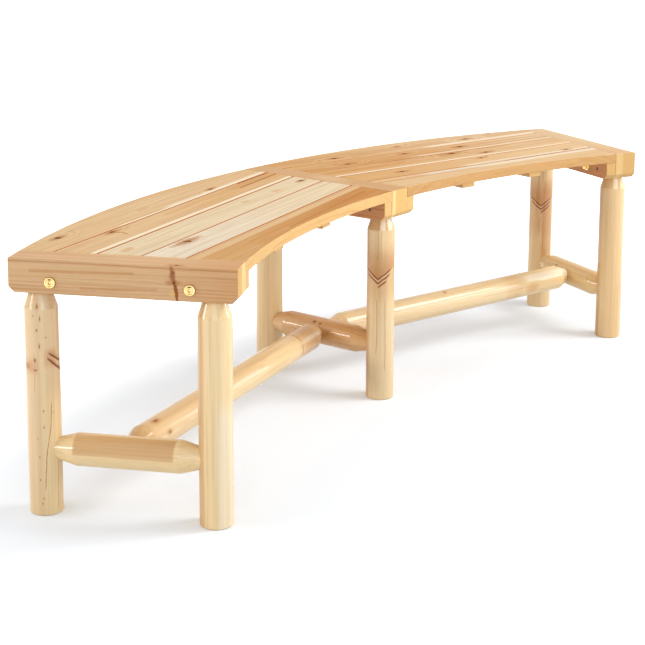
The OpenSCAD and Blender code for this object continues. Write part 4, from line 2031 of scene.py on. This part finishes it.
    def _camera(self) -> None:
        """Sets the camera."""
        data = bpy.data.cameras.new("camera")
        data.sensor_width = self.sensor
        data.sensor_fit = "HORIZONTAL"
        data.lens = self.focal
        data.shift_y = self.shift_y
        camera = bpy.data.objects.new("camera", data)
        bpy.context.scene.collection.objects.link(camera)
        ahead = Vector((math.sin(self.yaw) * math.cos(self.pitch), math.cos(self.yaw) * math.cos(self.pitch),
                        -math.sin(self.pitch)))
        right = Vector((math.cos(self.yaw), -math.sin(self.yaw), 0.0))
        up = right.cross(ahead)
        tilted = right * math.cos(self.roll) + up * math.sin(self.roll)
        upright = up * math.cos(self.roll) - right * math.sin(self.roll)
        turn = Matrix((tilted, upright, -ahead)).transposed().to_4x4()
        camera.matrix_world = Matrix.Translation(self.camera_place) @ turn
        bpy.context.scene.camera = camera


# ------------ this bench's wood: places in millimetres, and facings in degrees round a log

CONE_FOOT = 369.0  # height just above the start of a leg's cone


def flat_knot(along: float, across: float, radius: float, halo: float = 1.0) -> Knot:
    """A board's knot, which goes straight down through it."""
    return Knot(along, across, 0.0, radius, halo=halo, depth=0.0)


def end_strip(across: float, width: float, tone: Tone, share: float = 1.0, soft: float = 3.0) -> Strip:
    """A strip on a timber's sawn ends."""
    return Strip(across, width, tone, plane=Plane.END, share=share, soft=soft)


def facet_light(facing: float, across: float, width: float, tone: Tone, share: float, soft: float = 1.5) -> Strip:
    """Painted highlight or shade, by its tone, on a flat that a drawknife leaves on a leg's cone."""
    return Strip(across, width, tone, CONE_FOOT, soft=soft, share=share, facing=facing, fade=1.5)


# grain of the left panel's boards, from the outer one
LEFT_BOARDS = (
    Grain(
        11, Tone.STRAW, Tone.STRAW, (0, -60),
        knots=(flat_knot(-318, 14, 6.5), flat_knot(188, -18, 5.5)),
        strips=(Strip(-34, 3, Tone.WHITE, -190, soft=2), Strip(-29, 8, Tone.WHITE, -10, soft=2.5)),
        streaks=(Streak((-60, 5), (-25, 6), 4, Tone.HEART, soft=5, share=0.4),),
    ),
    Grain(
        12, Tone.STRAW, Tone.HONEY, (20, -45),
        knots=(flat_knot(-237, 28, 6), flat_knot(386, -35, 1.8, 0)),
        strips=(Strip(-29, 7, Tone.WHITE, soft=2.5), Strip(20, 18, Tone.AMBER, 200, soft=10, share=0.55)),
        streaks=(
            Streak((262, 34), (404, 33), 3, Tone.RESIN),
            Streak((230, 9), (400, 11), 2.5, Tone.RESIN),
            Streak((-237, 25), (-232, 8), 4, Tone.RESIN, share=0.6),
            Streak((-232, 8), (-238, -5), 2.5, Tone.RESIN, share=0.6),
        ),
    ),
    Grain(
        13, Tone.CREAM, Tone.CREAM, (-10, -38),
        knots=(flat_knot(351, 4, 6), flat_knot(366, -36, 1.8, 0)),
        streaks=(
            Streak((-352, 7), (-330, 9), 8, Tone.HEART, soft=7, share=0.4),
            Streak((100, 12), (114, 10), 5, Tone.HEART, soft=6, share=0.4),
            Streak((224, 5), (240, 3), 7, Tone.HEART, soft=6, share=0.4),
        ),
        figure=0.6,
    ),
    Grain(
        14, Tone.SAP, Tone.CREAM, (25, -50),
        knots=(flat_knot(-243, 22, 8.5), flat_knot(350, -36, 1.8, 0)),
        streaks=(Streak((-290, 24), (-200, 20), 3, Tone.BLOOM, soft=8, share=0.45),),
        figure=0.55,
    ),
    Grain(
        15, Tone.AMBER, Tone.HEART, (-26, -22),
        strips=(
            Strip(26, 17, Tone.STRAW, soft=6, share=0.85),
            Strip(-26, 16, Tone.HEART, -200, soft=8, share=0.4),
        ),
        streaks=(
            Streak((-200, -4), (120, -7), 3, Tone.HEART, soft=4, share=0.5),
            Streak((-60, -16), (300, -12), 3, Tone.RESIN, soft=3, share=0.4),
        ),
    ),
)

# grain of the right panel's boards, from the outer one
RIGHT_BOARDS = (
    Grain(
        21, Tone.HONEY, Tone.PALE, (5, -55),
        knots=(
            flat_knot(-235, -8, 6.5), flat_knot(-15, 24, 4.5),
            flat_knot(197, 7, 7), flat_knot(297, 30, 3.5, 0.7),
        ),
        strips=(Strip(-22, 12, Tone.WHITE, 40),),
    ),
    Grain(
        22, Tone.GOLD, Tone.PALE, (-18, -42),
        knots=(flat_knot(-255, -6, 6.5), flat_knot(-65, 16, 6), flat_knot(106, 9, 7.5)),
        strips=(Strip(-25, 8, Tone.WHITE, -80),),
        streaks=(Streak((-390, -20), (-60, -26), 4, Tone.HEART, soft=5, share=0.45),),
        span=(-60, 430),
    ),
    Grain(
        23, Tone.GOLD, Tone.STRAW, (30, -34),
        knots=(flat_knot(25, 26, 8), flat_knot(104, -8, 7)),
        strips=(Strip(-33, 9, Tone.WHITE),),
        streaks=(Streak((-360, 6), (-140, 10), 6, Tone.HEART, soft=8, share=0.5),),
    ),
    Grain(
        24, Tone.GOLD, Tone.STRAW, (-15, -48),
        knots=(flat_knot(-220, 2, 6), flat_knot(41, 20, 5), flat_knot(283, -22, 5.5, 0.8)),
        strips=(Strip(-30, 10, Tone.SAP, -60),),
    ),
    Grain(
        25, Tone.STRAW, Tone.STRAW, (10, -40),
        strips=(Strip(22, 12, Tone.SAP, -200, soft=6),),
        streaks=(Streak((60, 35), (340, 36), 3, Tone.RESIN, soft=2, share=0.6),),
        edge=Tone.BARE,
    ),
)

# grain of the beams: along counts from the middle of the seat's curve, up from the floor
BEAM_SPAN = (1500, 1700)
LEFT_BEAM_CRACKS = (
    Streak((1634, 456), (1632, 445), 2, Tone.RUSSET, Plane.SIDE, 4, 0.7, 5),
    Streak((1632, 443), (1629, 432), 4, Tone.RUSSET, Plane.SIDE, 5, 0.8, 6),
    Streak((1631, 411), (1630, 409), 7, Tone.END, Plane.SIDE, 4, 0.8, 5),
    Streak((1627, 423), (1624, 398), 3, Tone.SCAR, Plane.SIDE, 2.5, 0.9, 4),
    Streak((1700, 440), (1880, 436), 2, Tone.BLOOM, Plane.SIDE, 3, 0.5),
    Streak((1660, 414), (1790, 410), 2, Tone.BLOOM, Plane.SIDE, 3, 0.45),
)
BEAM_GRAIN = {
    Side.LEFT: Grain(
        31, Tone.GINGER, Tone.TAN, (0, 380), streaks=LEFT_BEAM_CRACKS, span=BEAM_SPAN,
        knots=(Knot(1629, 27.5, 428, 3.4), Knot(1626, 22, 457, 3.6)),
        strips=(
            # a thin dark line along the face just below its top arris
            Strip(452.5, 1.5, Tone.RESIN, soft=1.5, share=0.4, plane=Plane.SIDE),
            Strip(432, 12, Tone.HEART, 1400, 1640, 6, 0.2, Plane.SIDE),
            end_strip(-13, 24, Tone.CORN),
            end_strip(22, 8, Tone.AMBER, 0.5),
        ),
    ),
    Side.MIDDLE: Grain(
        33, Tone.GINGER, Tone.GOLD, (10, 390), span=BEAM_SPAN,
        strips=(
            Strip(461, 9, Tone.KNOT, soft=2, share=0.06, plane=Plane.SIDE),
            Strip(0, 30, Tone.STRAW, 1665, 1745, 8, 0.6),
            end_strip(21, 9, Tone.CORN),
        ),
    ),
    Side.RIGHT: Grain(
        35, Tone.TAN, Tone.STRAW, (-60, 480), span=BEAM_SPAN,
        # the second strip darkens the whole sawn end with a thin wash of the knot tone
        strips=(end_strip(19, 14, Tone.CORN, 0.75, 9), end_strip(0, 80, Tone.KNOT, 0.2)),
    ),
}

# the right cleat's sawn ends are darkened with a thin wash of the knot tone
CLEAT_GRAIN = {
    side: Grain(seed, Tone.CEDAR, Tone.CEDAR, (0, 380), strips=strips)
    for side, seed, strips in zip(Side, (32, 34, 36), ((), (), (end_strip(0, 80, Tone.KNOT, 0.18),)))
}

PIN_SIDE = -131.3  # where the left outer leg's pin knots face, near the bench's end
PINS = {  # their heights, places aside, radii and stretches
    Tone.SCAR: (
        (374, -7, 1.1, 3.0), (353, -3, 0.9, 4.5), (333, -9, 1.3, 1.5), (305, -5, 1.0, 4.0),
        (280, -13, 1.6, 1.9), (190, -1, 0.9, 1.8), (161, -1, 0.9, 2.2), (140, -12, 0.7, 1.5),
        (107, -10, 0.9, 1.3), (66, -10, 0.9, 1.6), (32, -5, 0.9, 1.4), (23, -7, 0.8, 2.0),
    ),
    Tone.BLOOM: ((268, -25, 5.0, 1.6), (320, 6, 1.2, 1.2), (358, -14, 1.2, 1.3), (185, 16, 0.8, 1.2)),
}
PINNED_LEG = Grain(
    52, Tone.PEELED, Tone.MELLOW, (2, 1),
    pins=tuple(Pin(PIN_SIDE, *spot, tone) for tone, spots in PINS.items() for spot in spots),
    strips=(
        # painted highlight and shade on the cone's flats
        facet_light(PIN_SIDE, -8, 8, Tone.GOLD, 0.85, 1.2),
        facet_light(PIN_SIDE, 5, 10, Tone.WHITE, 0.9, 1.2),
        facet_light(PIN_SIDE, 20, 12, Tone.GOLD, 0.7, 2),
        Strip(0, 26, Tone.STRAW, 215, facing=-82, soft=8, share=0.8),
        # painted shade on the leg's left side
        Strip(0, 22, Tone.STRAW, facing=-172, soft=10, share=0.8),
        Strip(0, 16, Tone.CEDAR, 268, 298, 6, 0.5, facing=-104, fade=7),
        Strip(0, 10, Tone.CEDAR, 255, 282, 6, 0.45, facing=-163, fade=8),
    ),
    scars=(
        Scar(292, -110, -0.8, 26, 1, 9, 1, 0.6, 12),
        Scar(283, -115, -1.0, 32, 1, 11, 1, 0.7, 10),
        Scar(262, -157, 0.5, 6, 1, 5, bloom=0),
    ),
    checks=(
        Check(PIN_SIDE, ((44, -1), (106, 2.5), (162, 10.5), (209, 12.4)), 1.1, 0.8),
        Check(-86, ((3, -1), (60, 0), (102, 1)), 0.9, 0.7),
        Check(PIN_SIDE, ((215, -16), (260, -14), (300, -16)), 0.7, 0.45),
    ),
)

MIDDLE_FACET_LIGHT = -144  # where the middle inner leg's cone shows the painted light and shade of its flats
RIGHT_FACET_LIGHT = -153  # the same on the right inner leg
WHORL = -150.6  # where the right outer leg's scar faces
MIDDLE_INNER_LEG = Grain(
    54, Tone.BISQUE, Tone.OCHRE, (2, -1), span=(150, 300),
    scars=(Scar(264, -155), Scar(246.4, -155, reach=20, lines=1, arm=1, bloom=0)),
    strips=(
        # painted shade down the leg's left edge as the camera sees it
        Strip(0, 12, Tone.HEART, facing=141, soft=8, share=0.6),
        Strip(0, 70, Tone.BLOOM, 225, 330, share=0.3),
        # painted light on the leg's top, which lies in the beam's shadow
        Strip(0, 30, Tone.PEELED, 335, facing=-165, soft=10, share=0.8),
        # painted highlight and shade on the cone's flats
        facet_light(MIDDLE_FACET_LIGHT, -13, 20, Tone.AMBER, 0.6, 2),
        facet_light(MIDDLE_FACET_LIGHT, 4.5, 8, Tone.WHITE, 0.8),
        facet_light(MIDDLE_FACET_LIGHT, 12, 5, Tone.GOLD, 0.6),
        facet_light(MIDDLE_FACET_LIGHT, 18.5, 6, Tone.WHITE, 0.7),
    ),
    checks=(
        Check(-160, ((96, -1), (150, 1), (225, 0)), 1.2, 0.6),
        Check(-125, ((60, 0), (130, 1), (222, -1)), 1.0, 0.5),
        Check(-158, ((300, 0), (350, 1), (392, 0)), 1.3, 0.5),
        Check(-141, ((296, 0), (340, -1), (375, 0)), 0.9, 0.4),
    ),
)
RIGHT_OUTER_LEG = Grain(
    58, Tone.BISQUE, Tone.OCHRE, (1, 1),
    strips=(
        Strip(0, 70, Tone.BLOOM, 195, 312, share=0.42),
        Strip(0, 22, Tone.BLOOM, 125, 325, facing=-113, soft=8, share=0.55),
    ),
    scars=(
        Scar(268, WHORL, bloom=1, bloom_height=80),
        Scar(250.4, WHORL, reach=24, lines=1, arm=1, bloom=0),
    ),
    checks=(
        Check(-156, ((190, 0), (225, -1), (242, 0)), 1.6, 0.55),
        Check(-140, ((130, 0), (180, 1), (230, 0)), 1.0, 0.4),
        Check(-146, ((318, 0), (350, 1), (392, 0)), 2.0, 0.45),
        Check(-161, ((312, 0), (350, 0), (390, 1)), 1.4, 0.4),
    ),
)

LEFT_INNER_LEG = Grain(
    51, Tone.PEELED, Tone.PEELED,
    strips=(
        # painted shade down the leg's left edge as the camera sees it
        Strip(0, 15, Tone.AMBER, facing=155, soft=8, share=0.75),
        # painted light on the lower right side, where the key lamp falls
        Strip(0, 20, Tone.WHITE, stop=215, facing=-101, soft=10, share=0.6),
    ),
)
RIGHT_INNER_LEG = Grain(
    57, Tone.OCHRE, Tone.OCHRE,
    strips=(
        # painted shade down the leg's left edge as the camera sees it
        Strip(0, 8, Tone.HEART, facing=140, soft=8, share=0.5),
        # painted light over the cone, which lies in the beam's shadow
        Strip(0, 200, Tone.PEELED, CONE_FOOT, share=0.7, fade=2),
        # painted highlight and shade on the cone's flats
        facet_light(RIGHT_FACET_LIGHT, -12, 22, Tone.AMBER, 0.55, 2),
        facet_light(RIGHT_FACET_LIGHT, 6, 9, Tone.WHITE, 0.6),
        facet_light(RIGHT_FACET_LIGHT, 14, 5, Tone.GOLD, 0.6),
    ),
)
LEG_GRAIN = {  # inner and outer
    Side.LEFT: (LEFT_INNER_LEG, PINNED_LEG),
    Side.MIDDLE: (MIDDLE_INNER_LEG, Grain(55, Tone.OCHRE, Tone.MELLOW)),
    Side.RIGHT: (RIGHT_INNER_LEG, RIGHT_OUTER_LEG),
}

# grain of the cross stretchers, whose marks' facing counts from level
CROSS_GRAIN = {
    Side.LEFT: Grain(
        53, Tone.PEELED, Tone.PEELED,
        strips=(
            Strip(0, 42, Tone.AMBER, -85, 94, 4, 0.85, facing=54, fade=3),
            Strip(0, 6, Tone.PEELED, -85, 94, 5, 0.6, facing=92, fade=3),
        ),
    ),
    Side.MIDDLE: Grain(
        56, Tone.AMBER, Tone.HONEY, (2, 1),
        pins=(Pin(52, 10, 0, 2.6, 1.6), Pin(48, -6, 0, 2.2, 1.4), Pin(10, -27, 0, 9, 1.6, Tone.BLOOM)),
        strips=(Strip(0, 20, Tone.BLOOM, facing=66, soft=8, share=0.35),),
        checks=(
            Check(40, ((-120, 0), (-40, 1), (60, 0)), 0.8, 0.4),
            Check(20, ((-102, 0), (-58, 1)), 0.9, 0.5),
            Check(58, ((-112, 0), (-66, 1)), 0.8, 0.5),
            Check(60, ((62, 0), (106, -1)), 0.8, 0.5),
            Check(4, ((30, 0), (84, 1)), 0.8, 0.5),
            Check(-20, ((-110, 0), (-48, 1)), 0.8, 0.45),
            Check(-26, ((42, 0), (100, -1)), 0.8, 0.45),
        ),
    ),
    Side.RIGHT: Grain(
        59, Tone.CORN, Tone.OCHRE,
        pins=(Pin(36, 40, 0, 2.2, 1.6, Tone.RESIN),),
        checks=(
            Check(30, ((-110, 0), (0, 1), (110, -1)), 0.8, 0.4),
            Check(8, ((-60, 0), (20, -1), (120, 0)), 0.8, 0.35),
        ),
    ),
}

# grain of the long stretchers
LONG_GRAIN = {
    Side.LEFT: Grain(
        61, Tone.MELLOW, Tone.MELLOW, (1, 0),
        strips=(
            Strip(0, 200, Tone.HEART, stop=-352, share=0.6),
            # painted shade: the seat's shade, browner from the ring to the log's end
            Strip(0, 200, Tone.CEDAR, start=258, share=0.4),
            # painted highlight: a pale band along the top of that end
            Strip(0, 7, Tone.WHITE, start=270, facing=150, share=0.6),
        ),
        streaks=(
            Streak((258, -28), (254, 28), 2, Tone.RESIN, share=0.7),
            Streak((256, -28), (256, 20), 2, Tone.RESIN, Plane.SIDE, share=0.7),
        ),
        pins=(
            Pin(104, -312, 0, 5, 1.8, Tone.RESIN),
            Pin(168, -298, 0, 4, 1.6, Tone.RESIN),
            Pin(120, -70, 0, 3, 1.5, Tone.RESIN),
        ),
    ),
    Side.RIGHT: Grain(
        62, Tone.BISQUE, Tone.PEELED, (0, 1), span=(195, 250),
        strips=(
            Strip(0, 200, Tone.HONEY, 152, 200, share=0.45, fade=10),
            # painted highlight: a white sheen band along the top of the right end
            Strip(0, 14, Tone.WHITE, 222, facing=138, soft=6, share=0.8, fade=15),
        ),
        pins=(
            Pin(190, 236, 0, 8.5, 1.6, Tone.CEDAR),
            Pin(190, 236, 0, 6, 1.6, Tone.STRAW),
            Pin(110, -40, 0, 3, 1.5, Tone.RESIN),
        ),
        checks=(Check(176, ((60, 0), (140, 1), (230, 0)), 0.8, 0.4),),
    ),
}


def main() -> None:
    """Builds the bench and its studio."""
    logging.basicConfig(level=logging.INFO, format="%(message)s")
    at = Layout()
    Studio().build()
    for side in Side:
        BeamWork(at, side, BEAM_GRAIN[side], CLEAT_GRAIN[side]).build()
    for side, boards, seed in ((Side.LEFT, LEFT_BOARDS, 41), (Side.RIGHT, RIGHT_BOARDS, 42)):
        SeatPanel(at, side, boards, Grain(seed, Tone.HONEY, Tone.HONEY, (0, 400))).build()
    for side in Side:
        shaved = (0.15, 0.6 if side is Side.LEFT else 0.15)
        LogWork(at, side, LEG_GRAIN[side], CROSS_GRAIN[side], shaved).build()
    for side, grain in LONG_GRAIN.items():
        LongStretcher(at, side, grain).build()
    Fasteners(at).build()


if __name__ == "__main__":
    main()
